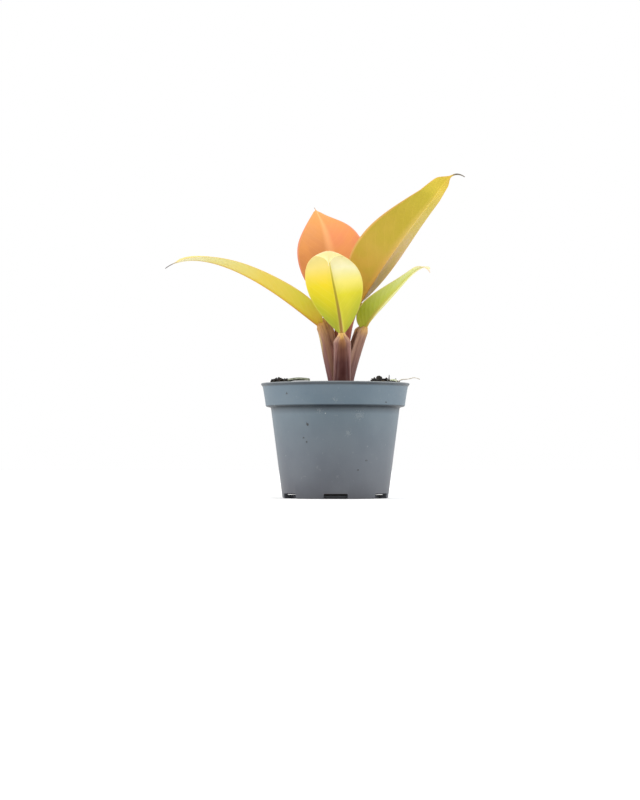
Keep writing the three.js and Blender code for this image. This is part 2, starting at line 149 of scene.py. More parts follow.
world = bpy.data.worlds.new("studio_air")
world.use_nodes = True
world.node_tree.nodes["Background"].inputs["Color"].default_value = (1, 1, 1, 1)
world.node_tree.nodes["Background"].inputs["Strength"].default_value = 1
bpy.context.scene.world = world
print("lamps:", len(LAMPS))

# %% [markdown]
# ## Building materials from nodes
# A material is a small graph. These helpers add a node, set or link its inputs and hand back its
# output, so that a whole graph reads like a recipe. Colours are written as they look on a screen,
# from 0 to 255, and turned into the linear values that the shader works with. The studio's light is
# a little brighter than 1, so every colour is brought down by that share.

# %% Helpers for nodes
STUDIO_LIGHT = 1.12


def screen(red, green, blue):
    """A linear colour from one written as it shows on a screen."""
    shares = [part / 255 for part in (red, green, blue)]
    linear = [x / 12.92 if x <= 0.04045 else ((x + 0.055) / 1.055) ** 2.4 for x in shares]
    return (*[x / STUDIO_LIGHT for x in linear], 1)


def add_node(tree, kind, inputs, **settings):
    """Adds a shader node. An input that is given a socket is linked to it, any other is set."""
    node = tree.nodes.new("ShaderNode" + kind)
    for key, value in settings.items():
        setattr(node, key, value)
    for key, value in inputs.items():
        if isinstance(value, bpy.types.NodeSocket):
            tree.links.new(value, node.inputs[key])
        else:
            node.inputs[key].default_value = value
    return node


def sums(tree, operation, *values):
    """Output of a Math node on these values or sockets."""
    return add_node(tree, "Math", dict(enumerate(values)), operation=operation).outputs[0]


def times(tree, first, second):
    return sums(tree, "MULTIPLY", first, second)


def plus(tree, first, second):
    return sums(tree, "ADD", first, second)


def minus(tree, first, second):
    return sums(tree, "SUBTRACT", first, second)


def between(tree, value, low, high):
    """Output that eases from 0 to 1 while value goes from low to high."""
    inputs = {"Value": value, "From Min": low, "From Max": high}
    return add_node(tree, "MapRange", inputs, interpolation_type="SMOOTHSTEP").outputs["Result"]


def cloud(tree, place, scale, detail, rough=0.5):
    """Value of a cloudy noise at a place, with its scale to the metre."""
    inputs = {"Vector": place, "Scale": scale, "Detail": detail, "Roughness": rough}
    return add_node(tree, "TexNoise", inputs).outputs["Fac"]


def blend_colours(tree, share, first, second):
    """Colour between first and second, by share."""
    inputs = {"Factor": share, 6: first, 7: second}
    return add_node(tree, "Mix", inputs, data_type="RGBA").outputs[2]


def tint(tree, colour, share, other, strength=1.0):
    """Colour with another one laid over it, given as a socket or as it shows on a screen."""
    if not isinstance(other, bpy.types.NodeSocket):
        other = screen(*other)
    return blend_colours(tree, times(tree, share, strength), colour, other)


def ramp(tree, value, stops):
    """Colour along a row of stops, each a place and a colour as it shows on a screen."""
    node = add_node(tree, "ValToRGB", {"Fac": value})
    marks = node.color_ramp.elements
    while len(marks) < len(stops):
        marks.new(1)
    for mark, (place, *colour) in zip(marks, stops):
        mark.position = place
        mark.color = screen(*colour)
    return node.outputs["Color"]


def start_group(name, inputs, outputs):
    """A new node group. inputs gives each name its value, or None for a place, outputs its kind."""
    tree = bpy.data.node_groups.new(name, "ShaderNodeTree")
    for key, value in inputs.items():
        kind = "NodeSocketVector" if value is None else "NodeSocketFloat"
        socket = tree.interface.new_socket(name=key, in_out="INPUT", socket_type=kind)
        if value is not None:
            socket.default_value = value
    for key, kind in outputs.items():
        tree.interface.new_socket(name=key, in_out="OUTPUT", socket_type="NodeSocket" + kind)
    return tree, tree.nodes.new("NodeGroupInput").outputs, tree.nodes.new("NodeGroupOutput").inputs


def use_group(tree, group, inputs):
    """Outputs of a node group placed in a material."""
    return add_node(tree, "Group", inputs, node_tree=group).outputs


def start_material(name, **plain):
    """A new material, with its tree, its shader's inputs and the coordinates that a pattern can read.

    plain holds shader inputs that are the same all over, with _ for a space.
    """
    material = bpy.data.materials.new(name)
    material.use_nodes = True
    tree = material.node_tree
    shader = tree.nodes["Principled BSDF"]
    for key, value in plain.items():
        shader.inputs[key.replace("_", " ")].default_value = value
    return material, tree, shader.inputs, add_node(tree, "TexCoord", {}).outputs


def bump(tree, shader, height, strength, depth):
    """Feeds a height to the shader's normal. depth is what a height of 1 stands for, in metres."""
    inputs = {"Height": height, "Strength": strength, "Distance": depth}
    tree.links.new(add_node(tree, "Bump", inputs).outputs["Normal"], shader["Normal"])


# %% [markdown]
# ## Effects that several materials share
# Nothing that grew or was handled has one flat colour. Three effects are used again and again, so
# each is a node group: soft patches of lighter and darker tone, fine grain for the surface, and
# scattered small specks.

# %% Group: soft patches
patches_group, given, out = start_group(
    "soft_patches", {"Place": None, "Size": 0.01}, {"Mask": "Float"}
)
scale = sums(patches_group, "DIVIDE", 1.0, given["Size"])
wide = cloud(patches_group, given["Place"], scale, 4.0)
patches_group.links.new(between(patches_group, wide, 0.35, 0.65), out["Mask"])

# %% Group: fine grain
grain_group, given, out = start_group(
    "fine_grain", {"Place": None, "Size": 0.0004}, {"Height": "Float"}
)
scale = sums(grain_group, "DIVIDE", 1.0, given["Size"])
cells = add_node(grain_group, "TexVoronoi", {"Vector": given["Place"], "Scale": scale})
fine = cloud(grain_group, given["Place"], scale, 3.0)
grain = plus(grain_group, cells.outputs["Distance"], fine)
grain_group.links.new(times(grain_group, grain, 0.5), out["Height"])

# %% Group: specks
specks_group, given, out = start_group(
    "specks", {"Place": None, "Size": 0.003, "Radius": 0.12, "Share": 0.3}, {"Mask": "Float"}
)
scale = sums(specks_group, "DIVIDE", 1.0, given["Size"])
spots = add_node(specks_group, "TexVoronoi", {"Vector": given["Place"], "Scale": scale})
chance = add_node(specks_group, "SeparateColor", {"Color": spots.outputs["Color"]})
chosen = sums(specks_group, "LESS_THAN", chance.outputs[0], given["Share"])
rim = times(specks_group, given["Radius"], 0.5)
round_spot = between(specks_group, spots.outputs["Distance"], given["Radius"], rim)
specks_group.links.new(times(specks_group, round_spot, chosen), out["Mask"])
print("node groups:", [group.name for group in bpy.data.node_groups])

# %% [markdown]
# ## Finishing a piece
# Each finished piece has its place in its mesh, with its object at the origin, so that a pattern on
# object coordinates stays where it is. It rides on the plant's one body and hides the solid that it
# stands for.

# %% Finish helper
def finish_piece(piece, name, material, slot, *solids, smooth=60):
    """Applies a piece's place, smooths it, gives it its material and ties it to the frame."""
    select_only(piece)
    bpy.ops.object.transform_apply(location=True, rotation=True, scale=True)
    bpy.ops.object.shade_smooth_by_angle(angle=math.radians(smooth))
    piece.name = name
    piece.data.name = name
    piece.data.materials.clear()
    piece.data.materials.append(material)
    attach(piece, "root")
    if solids:
        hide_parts(*solids)
    triangles = sum(len(face.vertices) - 2 for face in piece.data.polygons)
    print(f"{name}: {triangles} triangles")


# %% [markdown]
# ## The pot
# The pot is moulded in one shot from thin grey plastic: a tapered body, a step out to a deep band, a
# thin flared lip, and slots round the foot that let water out. It could be spun from a drawn profile.
# Extruding a filled circle ring by ring does the same and keeps the wall closed: up the outside, over
# the lip, down the inside and across the floor.

# %% Helper for round walls
def raise_rings(sides, profile):
    """A filled circle extruded through (radius, height) pairs in millimetres, left in edit mode."""
    radius, height = profile[0]
    bpy.ops.object.select_all(action="DESELECT")
    bpy.ops.mesh.primitive_circle_add(
        vertices=sides, radius=radius * MM, fill_type="NGON", location=(0, 0, height * MM)
    )
    bpy.ops.object.transform_apply(location=True, rotation=False, scale=False)
    piece = bpy.context.object
    edit(piece)
    for (radius, height), (next_radius, next_height) in zip(profile, profile[1:]):
        rise = (next_height - height) * MM
        bpy.ops.mesh.extrude_region_move(TRANSFORM_OT_translate={"value": (0, 0, rise)})
        wider = next_radius / radius
        bpy.ops.transform.resize(value=(wider, wider, 1), center_override=(0, 0, 0))
    return piece


def close_edit():
    """Turns all faces outwards and leaves edit mode."""
    bpy.ops.mesh.select_all(action="SELECT")
    bpy.ops.mesh.normals_make_consistent(inside=False)
    bpy.ops.object.mode_set(mode="OBJECT")


# %% Pot: wall
POT_SIDES = 144
POT_PROFILE = [
    (20.9, 0), (21.35, 0.12), (21.6, 0.5), (22.44, 7), (23.47, 15), (24.63, 24), (25.79, 33),
    (26.2, 36.3), (26.32, 36.75), (26.7, 36.98), (27.5, 37.12), (28.1, 37.3), (28.36, 37.6),
    (28.45, 38), (28.5, 38.7), (28.95, 41.6), (29.36, 44), (29.58, 45.2), (29.8, 45.62),
    (30.08, 45.9), (30.27, 46.2), (30.3, 46.5), (30.2, 46.72), (29.95, 46.8), (29.5, 46.72),
    (29.05, 46.35), (28.78, 45.6), (28.6, 44.9), (28.1, 42), (27.58, 39.4), (27.3, 38.6),
    (25.65, 37.75), (25.3, 37.2), (24, 27), (22.2, 13), (20.98, 3.5), (20.6, 1.75), (20.1, 1.32),
    (19, 1.3), (12, 1.3), (4, 1.3),
]
POT_HEIGHT = max(height for _, height in POT_PROFILE)

pot = raise_rings(POT_SIDES, POT_PROFILE)
close_edit()
print("pot wall,", POT_HEIGHT, "mm high, with", len(pot.data.polygons), "faces")

# %% Pot: slots round the foot
NOTCHES = 6
NOTCH_SIZE = (9.6, 6.4, 4.1)
NOTCH_MIDDLE = 20.6
NOTCH_ROUNDING = 0.5

bpy.ops.object.select_all(action="DESELECT")
bpy.ops.mesh.primitive_cube_add(size=1, location=(0, -NOTCH_MIDDLE * MM, 0))
cutter = bpy.context.object
cutter.scale = [side * MM for side in NOTCH_SIZE]
bpy.ops.object.transform_apply(location=True, rotation=False, scale=True)
rounding = cutter.modifiers.new("rounding", "BEVEL")
rounding.width = NOTCH_ROUNDING * MM
rounding.segments = 3
bpy.ops.object.modifier_apply(modifier=rounding.name)
cutters = [cutter]
for turn in range(1, NOTCHES):
    other = cutter.copy()
    other.data = cutter.data.copy()
    bpy.context.collection.objects.link(other)
    other.rotation_euler.z = 2 * math.pi * turn / NOTCHES
    cutters.append(other)
select_only(*cutters[1:], cutter)
bpy.ops.object.join()
bpy.ops.object.transform_apply(location=False, rotation=True, scale=False)

select_only(pot)
slots = pot.modifiers.new("slots", "BOOLEAN")
slots.object = cutter
slots.operation = "DIFFERENCE"
slots.solver = "EXACT"
bpy.ops.object.modifier_apply(modifier=slots.name)
bpy.data.objects.remove(cutter)
print("pot with slots:", len(pot.data.polygons), "faces")

# %% [markdown]
# The plastic is a soft blue grey, a little browner and darker towards the foot, where the darkening
# is painted shade. Painted shade darkens the corner under the band and the one under the lip, and a
# painted highlight makes the lip's top edge pale. The pot has been handled, so it has faint cloudy
# patches, a few pale scuffs and specks of soil, which sit where the photograph shows them on the
# front. One node group draws such a mark round a place on the wall.

# %% Group: a mark at one place
mark_group, given, out = start_group(
    "mark", {"Place": None, "Middle": None, "Size": 0.001, "Ragged": 0.5}, {"Mask": "Float"}
)
ends = {0: given["Place"], 1: given["Middle"]}
far = add_node(mark_group, "VectorMath", ends, operation="DISTANCE").outputs["Value"]
far = sums(mark_group, "DIVIDE", far, given["Size"])
torn = minus(mark_group, cloud(mark_group, given["Place"], 2400.0, 4.0), 0.5)
torn = times(mark_group, torn, given["Ragged"])
edge = plus(mark_group, far, times(mark_group, torn, 6.0))
mark_group.links.new(between(mark_group, edge, 1.0, 0.6), out["Mask"])

# %% Plastic of the pot: its marks
# Tones up the wall by height in mm. The darker foot and the dark stops under the band (35.8 to 37.8)
# and under the lip (45.2 to 46.6) are painted shade. The pale stops at the lip's top are a painted
# highlight.
POT_TONES_AND_PAINTED_LIGHT = [
    (0, 85, 86, 92), (16, 91, 97, 105), (34, 94, 107, 116), (35.8, 74, 84, 92), (36.7, 44, 52, 59),
    (37.45, 44, 52, 59), (37.8, 91, 106, 117), (45.2, 93, 108, 119), (45.6, 66, 73, 79),
    (46.3, 68, 74, 80), (46.6, 118, 123, 127), (46.8, 126, 130, 133),
]
SCUFF_COLOUR = (186, 190, 188)
DIRT_COLOUR = (52, 48, 46)
SCUFFS = {
    "colour": SCUFF_COLOUR, "strength": 0.12, "ragged": 1.1,
    "marks": [
        (-0.5, -28.8, 39.3, 0.9), (9.4, -24, 33, 1.6), (5, -24.4, 26.3, 0.9), (-6.5, -25.2, 35.2, 0.9),
    ],
}
DIRT = {
    "colour": DIRT_COLOUR, "strength": 0.85, "ragged": 0.7,
    "marks": [
        (8.9, -21.4, 11.6, 0.4), (-19.6, -21.5, 42.1, 0.5), (-11.2, -22.7, 29.8, 0.65),
        (-12.8, -21.1, 24.3, 0.4), (-11.6, -21.6, 22.7, 0.45), (20.1, -20.3, 38.6, 0.45),
        (12.5, -20.4, 15.4, 0.5), (-3, -25.7, 36, 0.4),
    ],
}
print("marks on the pot:", len(SCUFFS["marks"]), "scuffs and", len(DIRT["marks"]), "specks of dirt")

# %% Plastic of the pot
pot_plastic, tree, shader, grid = start_material("pot_plastic", Specular_IOR_Level=0.26, IOR=1.5)
place = grid["Object"]
height = add_node(tree, "SeparateXYZ", {0: place}).outputs["Z"]
height = sums(tree, "DIVIDE", height, POT_HEIGHT * MM)
# This height ramp lays on the painted shade at the foot, under the band and under the lip, and the
# painted highlight on the lip's top.
colour = ramp(tree, height, [(z / POT_HEIGHT, *tone) for z, *tone in POT_TONES_AND_PAINTED_LIGHT])
cloudy = use_group(tree, patches_group, {"Place": place, "Size": 0.014})["Mask"]
colour = tint(tree, colour, cloudy, (132, 140, 144), 0.1)
rubbed = between(tree, cloud(tree, place, 520.0, 7.0, 0.75), 0.6, 0.72)
colour = tint(tree, colour, rubbed, SCUFF_COLOUR, 0.14)
worn = times(tree, rubbed, 0.3)
for kind in (SCUFFS, DIRT):
    for x, y, z, size in kind["marks"]:
        inputs = {"Middle": (x * MM, y * MM, z * MM), "Size": size * MM, "Ragged": kind["ragged"]}
        mark = use_group(tree, mark_group, {"Place": place, **inputs})["Mask"]
        colour = tint(tree, colour, mark, kind["colour"], kind["strength"])
        if kind is SCUFFS:
            worn = sums(tree, "MAXIMUM", worn, mark)
inputs = {"Place": place, "Size": 0.0041, "Radius": 0.07, "Share": 0.14}
colour = tint(tree, colour, use_group(tree, specks_group, inputs)["Mask"], SCUFF_COLOUR, 0.5)
tree.links.new(colour, shader["Base Color"])

rough = plus(tree, 0.42, times(tree, cloudy, 0.08))
tree.links.new(plus(tree, rough, times(tree, worn, 0.25)), shader["Roughness"])
wave = cloud(tree, place, 90.0, 2.0)
grain = use_group(tree, grain_group, {"Place": place, "Size": 0.0006})["Height"]
relief = plus(tree, wave, times(tree, grain, 0.06))
relief = plus(tree, relief, times(tree, worn, 0.25))
bump(tree, shader, relief, 0.6, 0.0003)
finish_piece(pot, "pot_wall", pot_plastic, "pot", "pot", smooth=35)

# %% [markdown]
# ## Leaves and stalks: the paths
# Every leaf follows a smooth path from its neck to its tip. At each point of the path three
# directions are worked out: along it, across the blade, and up out of its upper side. The blade is
# then drawn across the path: how wide it is, how much its two halves fold up, and how its margin
# droops. The values are those that the solids were built with, in millimetres, so that each finer
# leaf lies exactly where its solid is. Each leaf's last rows are for the finer shape alone: where its
# tip thins to a thread, how wide its midrib is, how blunt it ends or how far it arches up, and the
# crease and the slot pressed into its stalk.

# %% Values of the leaves
LEAVES = {
    "front": {
        "midrib": [(2.6, -8.2, 65.7), (1.8, -10, 80.7), (-4.6, -13, 97), (-3, -26, 106.3),
                   (-2.9, -33, 92)],
        "faces": [(0, 1, 0.13), (0.15, 0.62, 0.73), (-0.15, -0.29, 0.98)],
        "half": 11.4, "base": 1.07, "taper": 1.78, "fold": [16, -8, -3], "droop": [0, 0.1, 0.4],
        "wave": 0, "waves": 2, "sides": (1.04, 0.97),
        "foot": (2.6, -2.9), "bends": [(2.6, -3.2, 49), (3.2, -6.3, 59)], "foot_face": (0, 1, 0),
        "width": (3.6, 3.5, 1.4), "keel": (1.7, 1.6, 1.1), "inner": (0.9, 0.9, 0.9),
        "shoulder": 0.76, "wrap": 5.2,
        "thread": (0.97, 1), "rib_half": (1.2, 0.22), "blunt": 1.5,
        "crease": 0.3, "slot": (math.pi / 2, 0.6, 0.95),
    },
    "left": {
        "midrib": [(-5.8, 3.8, 70.4), (-16.7, 4.4, 78.4), (-32.5, 0, 92.4), (-56.4, -5, 103.5),
                   (-68.9, -8, 93.1)],
        "faces": [(0.5, 0, 0.9), (0.31, -0.05, 1), (-0.33, -0.18, 0.99)],
        "half": 12.7, "base": 0.54, "taper": 1.01, "fold": [39, 17, 11], "droop": [0],
        "wave": 0.1, "waves": 2, "sides": (1, 1.02),
        "foot": (0, 0.4), "bends": [(0.5, 0.5, 47), (-5, 1.4, 58)], "foot_face": (1, 0, 0),
        "width": (2.8, 2.7, 1.5), "keel": (1.7, 1.9, 1.2), "inner": (1.2, 4.7, 4.4),
        "shoulder": 0.9, "wrap": 6,
        "thread": (0.88, 0.94), "rib_half": (1.2, 0.5), "crease": 0.1, "slot": (2.5, 0.5, 0.96),
    },
    "small": {
        "midrib": [(11.9, 2, 68.8), (15.3, 1.5, 78.1), (26.2, -0.5, 84.2), (34.6, -3.5, 100.7),
                   (38.4, -6.5, 91.6)],
        "faces": [(-0.68, 0.58, 0.45), (-0.23, -0.09, 0.92), (0.39, -0.22, 0.93)],
        "half": 10.1, "base": 0.57, "taper": 0.86, "fold": [32, -6, 3], "droop": [0],
        "wave": 0.1, "waves": 2, "sides": (1.02, 1.06),
        "foot": (4.6, 0.3), "bends": [(4.6, 0.2, 47), (8.2, 0.6, 57)], "foot_face": (-1, 0.2, 0),
        "width": (2.5, 2.4, 1.3), "keel": (1.6, 1.7, 1.1), "inner": (1, 4.2, 2.7),
        "shoulder": 0.88, "wrap": 6,
        "thread": (0.92, 1), "rib_half": (1.1, 0.4), "crease": 0.1, "slot": (0.62, 0.5, 0.97),
    },
    "tall": {
        "midrib": [(9.3, -0.5, 79.2), (13.5, -1.5, 83.6), (21.2, -5.5, 104.3), (38.9, -9, 114.2),
                   (42.6, -13, 133.2), (52, -15, 129.4)],
        "faces": [(-0.63, 0.67, 0.39), (-0.42, 0.72, 0.49), (-0.26, 0.5, 0.81)],
        "half": 13.8, "base": 0.84, "taper": 1.54, "fold": [34, 35, 2], "droop": [0],
        "wave": -1.3, "waves": 1.3, "sides": (0.97, 1.01),
        "foot": (3.2, 1.4), "bends": [(3.8, 1.2, 55), (4.2, 0.8, 64), (5.2, 0.3, 72)],
        "foot_face": (-0.66, 0.75, 0),
        "width": (1.5, 1.5, 1.3), "keel": (1.3, 1.4, 1.1), "inner": (0.9, 1, 1),
        "shoulder": 0.9, "wrap": 12,
        "thread": (0.79, 0.885), "rib_half": (1.1, 0.45), "arch": 1.4,
        "crease": 0, "slot": (math.pi / 2, 0.9, 0.95),
    },
    "back": {
        "midrib": [(1.2, 5.5, 78.8), (-2.2, 6, 90.9), (-0.5, 9, 105.6), (-4.8, 17, 113.7),
                   (-8.6, 27, 121.7)],
        "faces": [(0.05, -1, 0.09), (0.04, -1, 0.29), (0.25, -0.82, 1)],
        "half": 14.7, "base": 0.82, "taper": 1.35, "fold": [24, 20, -1], "droop": [0],
        "wave": -0.5, "waves": 2, "sides": (1.02, 1.02),
        "foot": (1.6, 3.4), "bends": [(1.5, 4.4, 55), (1.3, 5, 68)], "foot_face": (0, -1, 0),
        "width": (2.6, 1.8, 1.3), "keel": (1.3, 1.4, 1.1), "inner": (0.8, 1, 1),
        "shoulder": 0.7, "wrap": 8,
        "thread": (0.93, 0.975), "rib_half": (0.9, 0.35), "crease": 0, "slot": (math.pi / 2, 0.5, 0.9),
    },
}
print("leaves:", ", ".join(LEAVES))


# %% Helpers for paths
def lerp(first, second, share):
    return first + (second - first) * share


def ease(low, high, value):
    """0 below low, 1 above high and a smooth rise between."""
    share = min(max((value - low) / (high - low), 0), 1)
    return share * share * (3 - 2 * share)


def bezier(values, t):
    """Point or number at t on a smooth curve that the values pull towards themselves."""
    level = list(values)
    while len(level) > 1:
        level = [lerp(first, second, t) for first, second in zip(level, level[1:])]
    return level[0]


def frame_on(path, faces, t):
    """Place on a path, with the directions along it, across it and out of its upper side."""
    step = 0.001
    along = (bezier(path, min(t + step, 1)) - bezier(path, max(t - step, 0))).normalized()
    across = along.cross(bezier(faces, t)).normalized()
    return bezier(path, t), along, across, across.cross(along)


def vectors(points):
    return [Vector(point) for point in points]


def directions(points):
    return [Vector(point).normalized() for point in points]


# %% [markdown]
# ## Leaf blades
# A blade is a thin sheet, so it starts as a flat grid. Solidify gives it a second face and a rim,
# and then each row of the grid is laid across the path. The sheet is thinnest at its margin. Under
# the leaf the midrib stands out as a rounded keel that thins towards the tip, and on the upper side
# it is a shallow groove. Between the side veins the blade swells a little.

# %% Blade: shape
BLADE_ROWS = 132
BLADE_COLUMNS = 44
BLADE_START = 0.004
TIP_HALF = 0.16
SIDE_PHASE = 0.35
SHEET_HALF = 0.15
MARGIN_HALF = 0.07
RIB_HEIGHT = 0.8
GROOVE = 0.3
VEIN_RISE = 0.035
VEINS = 15
VEIN_SWEEP = 0.2
VEIN_BEND = 1.25


def vein_turn(s, a):
    """How many side veins lie between the neck and this place, at a from midrib to margin."""
    return VEINS * (s - VEIN_SWEEP * a ** VEIN_BEND)


def blade_section(leaf, s):
    """What one row of the blade needs: its place, directions, half width, fold and droop."""
    power, taper = leaf["base"], leaf["taper"]
    widest = power / (power + taper)
    grown = BLADE_START + s * (1 - BLADE_START)
    outline = grown ** power * (1 - grown) ** taper
    half = leaf["half"] * outline / (widest ** power * (1 - widest) ** taper)
    half *= 1 + leaf.get("blunt", 0) * ease(0.6, 1, s) ** 2
    half = lerp(half, min(half, TIP_HALF), ease(*leaf["thread"], s))
    least = TIP_HALF + 0.9 * (1 - ease(0, 0.03, s))
    at, along, across, up = frame_on(leaf["path"], leaf["turns"], s)
    arched = leaf.get("arch", 0) * math.sin(math.pi * min(max((s - 0.7) / 0.3, 0), 1))
    fold = math.radians(bezier(leaf["fold"], s))
    return at + Vector((0, 0, arched)), across, up, max(half, least), fold, bezier(leaf["droop"], s)


def blade_point(leaf, section, s, v, upper):
    """Place of a point of the blade, v being -1 to 1 across it, and how much of it is midrib."""
    at, across, up, half, fold, droop = section
    side = half * leaf["sides"][0 if v < 0 else 1]
    rounded = math.hypot(v, 0.05) - 0.05
    turn = 2 * math.pi * (leaf["waves"] * s + (SIDE_PHASE if v > 0 else 0))
    wave = leaf["wave"] * v * v * math.sin(turn) * math.sin(math.pi * s)
    lift = side * (rounded * math.sin(fold) - droop * v * v) + wave
    swell = -0.5 * math.cos(2 * math.pi * vein_turn(s, abs(v)))
    lift += VEIN_RISE * swell * min(half / 5, 1) * ease(0.02, 0.2, abs(v)) * ease(1, 0.85, abs(v))
    rib_half = lerp(*leaf["rib_half"], ease(0, 0.7, s))
    away = abs(v) * side / rib_half
    rib = math.exp(-2.2 * away ** 2.4)
    thick = lerp(SHEET_HALF, MARGIN_HALF, abs(v) ** 3)
    if upper:
        lift += thick - GROOVE * (1 - s) * math.exp(-((away * 1.5) ** 2)) * min(half / 3, 1)
    else:
        lift -= thick + RIB_HEIGHT * (1 - 0.8 * s) * min(half, 1) * rib
    return at + across * (v * side * math.cos(fold)) + up * lift, rib


def make_sheet(columns, rows):
    """A closed flat sheet of size 1 with two faces. The upper one has z above 0."""
    bpy.ops.object.select_all(action="DESELECT")
    bpy.ops.mesh.primitive_grid_add(x_subdivisions=columns, y_subdivisions=rows, size=1)
    piece = bpy.context.object
    faces = piece.modifiers.new("faces", "SOLIDIFY")
    faces.thickness = 0.02
    faces.offset = 0
    bpy.ops.object.modifier_apply(modifier=faces.name)
    return piece


def make_blade(leaf):
    """A leaf blade, with attributes that tell its under side and its midrib from the rest."""
    blade = make_sheet(BLADE_COLUMNS, BLADE_ROWS)
    under = blade.data.attributes.new("under", "FLOAT", "POINT")
    midrib = blade.data.attributes.new("midrib", "FLOAT", "POINT")
    sections = {}
    for vertex in blade.data.vertices:
        s = round(min(max(vertex.co.y + 0.5, 0), 1), 5)
        u = min(max(vertex.co.x * 2, -1), 1)
        v = u * (0.6 + 0.4 * abs(u))
        upper = vertex.co.z > 0
        if s not in sections:
            sections[s] = blade_section(leaf, s)
        point, rib = blade_point(leaf, sections[s], s, v, upper)
        vertex.co = point * MM
        under.data[vertex.index].value = 0 if upper else 1
        midrib.data[vertex.index].value = rib
    return blade


for leaf in LEAVES.values():
    leaf["path"] = vectors(leaf["midrib"])
    leaf["turns"] = directions(leaf["faces"])
blades = {name: make_blade(leaf) for name, leaf in LEAVES.items()}
print("blades:", {name: len(blade.data.polygons) for name, blade in blades.items()})

# %% [markdown]
# ### Colour of the leaves
# Young leaves of this plant open orange, turn yellow, and end green, so each leaf has its own colours
# along its length and a different tone in its two halves. Part of that is painted light: the front
# leaf's pale cream towards its top, strongest on its right half, is a painted highlight, and the small
# leaf's darker green half is painted shade. The grid's own UV map says how far a point is along the
# leaf and across it. From these one node group draws the side veins and the margin, and a material for
# each leaf mixes its colours: the two halves, the midrib under the leaf, a thin rosy margin, the dry
# tip and the base.

# %% Group: leaf pattern
pattern_group, given, out = start_group(
    "leaf_pattern", {"Leaf": None},
    {"Along": "Float", "Half": "Float", "Vein": "Float", "Margin": "Float", "Across": "Float"},
)
tree = pattern_group
parts = add_node(tree, "SeparateXYZ", {0: given["Leaf"]}).outputs
across = minus(tree, times(tree, parts["X"], 2.0), 1.0)
away = sums(tree, "ABSOLUTE", across)
straight = times(tree, away, plus(tree, 0.6, times(tree, away, 0.4)))
bent = times(tree, sums(tree, "POWER", straight, VEIN_BEND), VEIN_SWEEP)
turn = times(tree, minus(tree, parts["Y"], bent), VEINS)
ripple = sums(tree, "COSINE", times(tree, turn, 2 * math.pi))
finer = sums(tree, "COSINE", times(tree, turn, 8 * math.pi))
ridge = plus(tree, between(tree, ripple, 0.8, 1.0), times(tree, between(tree, finer, 0.4, 1.0), 0.3))
inside = times(tree, between(tree, away, 0.06, 0.2), between(tree, away, 1.0, 0.9))
tree.links.new(parts["Y"], out["Along"])
tree.links.new(straight, out["Across"])
tree.links.new(between(tree, across, -0.12, 0.12), out["Half"])
tree.links.new(times(tree, ridge, inside), out["Vein"])
tree.links.new(between(tree, away, 0.95, 0.985), out["Margin"])
print("leaf pattern:", len(tree.nodes), "nodes")


# %% Leaf material
def mix_numbers(tree, share, first, second):
    """Number between first and second, by a socket's share."""
    return plus(tree, times(tree, share, second - first), first)


def leaf_colour(tree, grid, cloudy, looks):
    """Colour of one leaf, from its two halves out to its rib, margin, tip and specks."""
    leaf = use_group(tree, pattern_group, {"Leaf": grid["UV"]})
    along = leaf["Along"]
    under = add_node(tree, "Attribute", {}, attribute_name="under").outputs["Fac"]
    rib = add_node(tree, "Attribute", {}, attribute_name="midrib").outputs["Fac"]

    halves = [ramp(tree, along, looks[half]) for half in ("low", "high")]
    colour = blend_colours(tree, leaf["Half"], *halves)
    shown = under if looks["shows_under"] else minus(tree, 1.0, under)
    colour = blend_colours(tree, shown, ramp(tree, along, looks["hidden"]), colour)
    outwards = times(tree, between(tree, leaf["Across"], 0.35, 1.0), between(tree, along, 0.38, 0.08))
    colour = tint(tree, colour, outwards, looks["rim"], looks["rimmed"])
    colour = tint(tree, colour, cloudy, looks["patch"], looks["patchy"])
    colour = tint(tree, colour, leaf["Vein"], looks["vein"], looks["veined"])

    rib_colour = ramp(tree, along, looks["rib"])
    beside = between(tree, leaf["Across"], 0.2, 0.0)
    colour = tint(tree, colour, beside, rib_colour, looks["softened"])
    ribbed = mix_numbers(tree, under, *looks["ribbed"])
    colour = tint(tree, colour, between(tree, rib, 0.3, 0.85), rib_colour, ribbed)
    colour = tint(tree, colour, leaf["Margin"], looks["margin"], looks["margined"])
    colour = tint(tree, colour, between(tree, along, *looks["tip_from"]), looks["tip"])
    inputs = {"Place": grid["Object"], "Size": 0.0023, "Radius": 0.09, "Share": 0.1}
    specks = use_group(tree, specks_group, inputs)["Mask"]
    return tint(tree, colour, specks, (120, 86, 38), 0.4), leaf["Vein"]


def leaf_material(name, looks):
    """Material of one leaf. looks holds its rows of colour stops and its other values."""
    material, tree, shader, grid = start_material(
        "leaf_" + name, Specular_IOR_Level=0.2, IOR=1.45, Coat_Weight=looks["coat"],
        Coat_Roughness=0.28, Coat_IOR=1.35,
    )
    cloudy = use_group(tree, patches_group, {"Place": grid["Object"], "Size": 0.008})["Mask"]
    colour, vein = leaf_colour(tree, grid, cloudy, looks)
    tree.links.new(colour, shader["Base Color"])
    tree.links.new(plus(tree, looks["rough"], times(tree, cloudy, 0.1)), shader["Roughness"])
    grain = use_group(tree, grain_group, {"Place": grid["Object"], "Size": 0.0012})["Height"]
    bump(tree, shader, plus(tree, vein, times(tree, grain, 0.1)), 0.2, 0.00005)
    return material


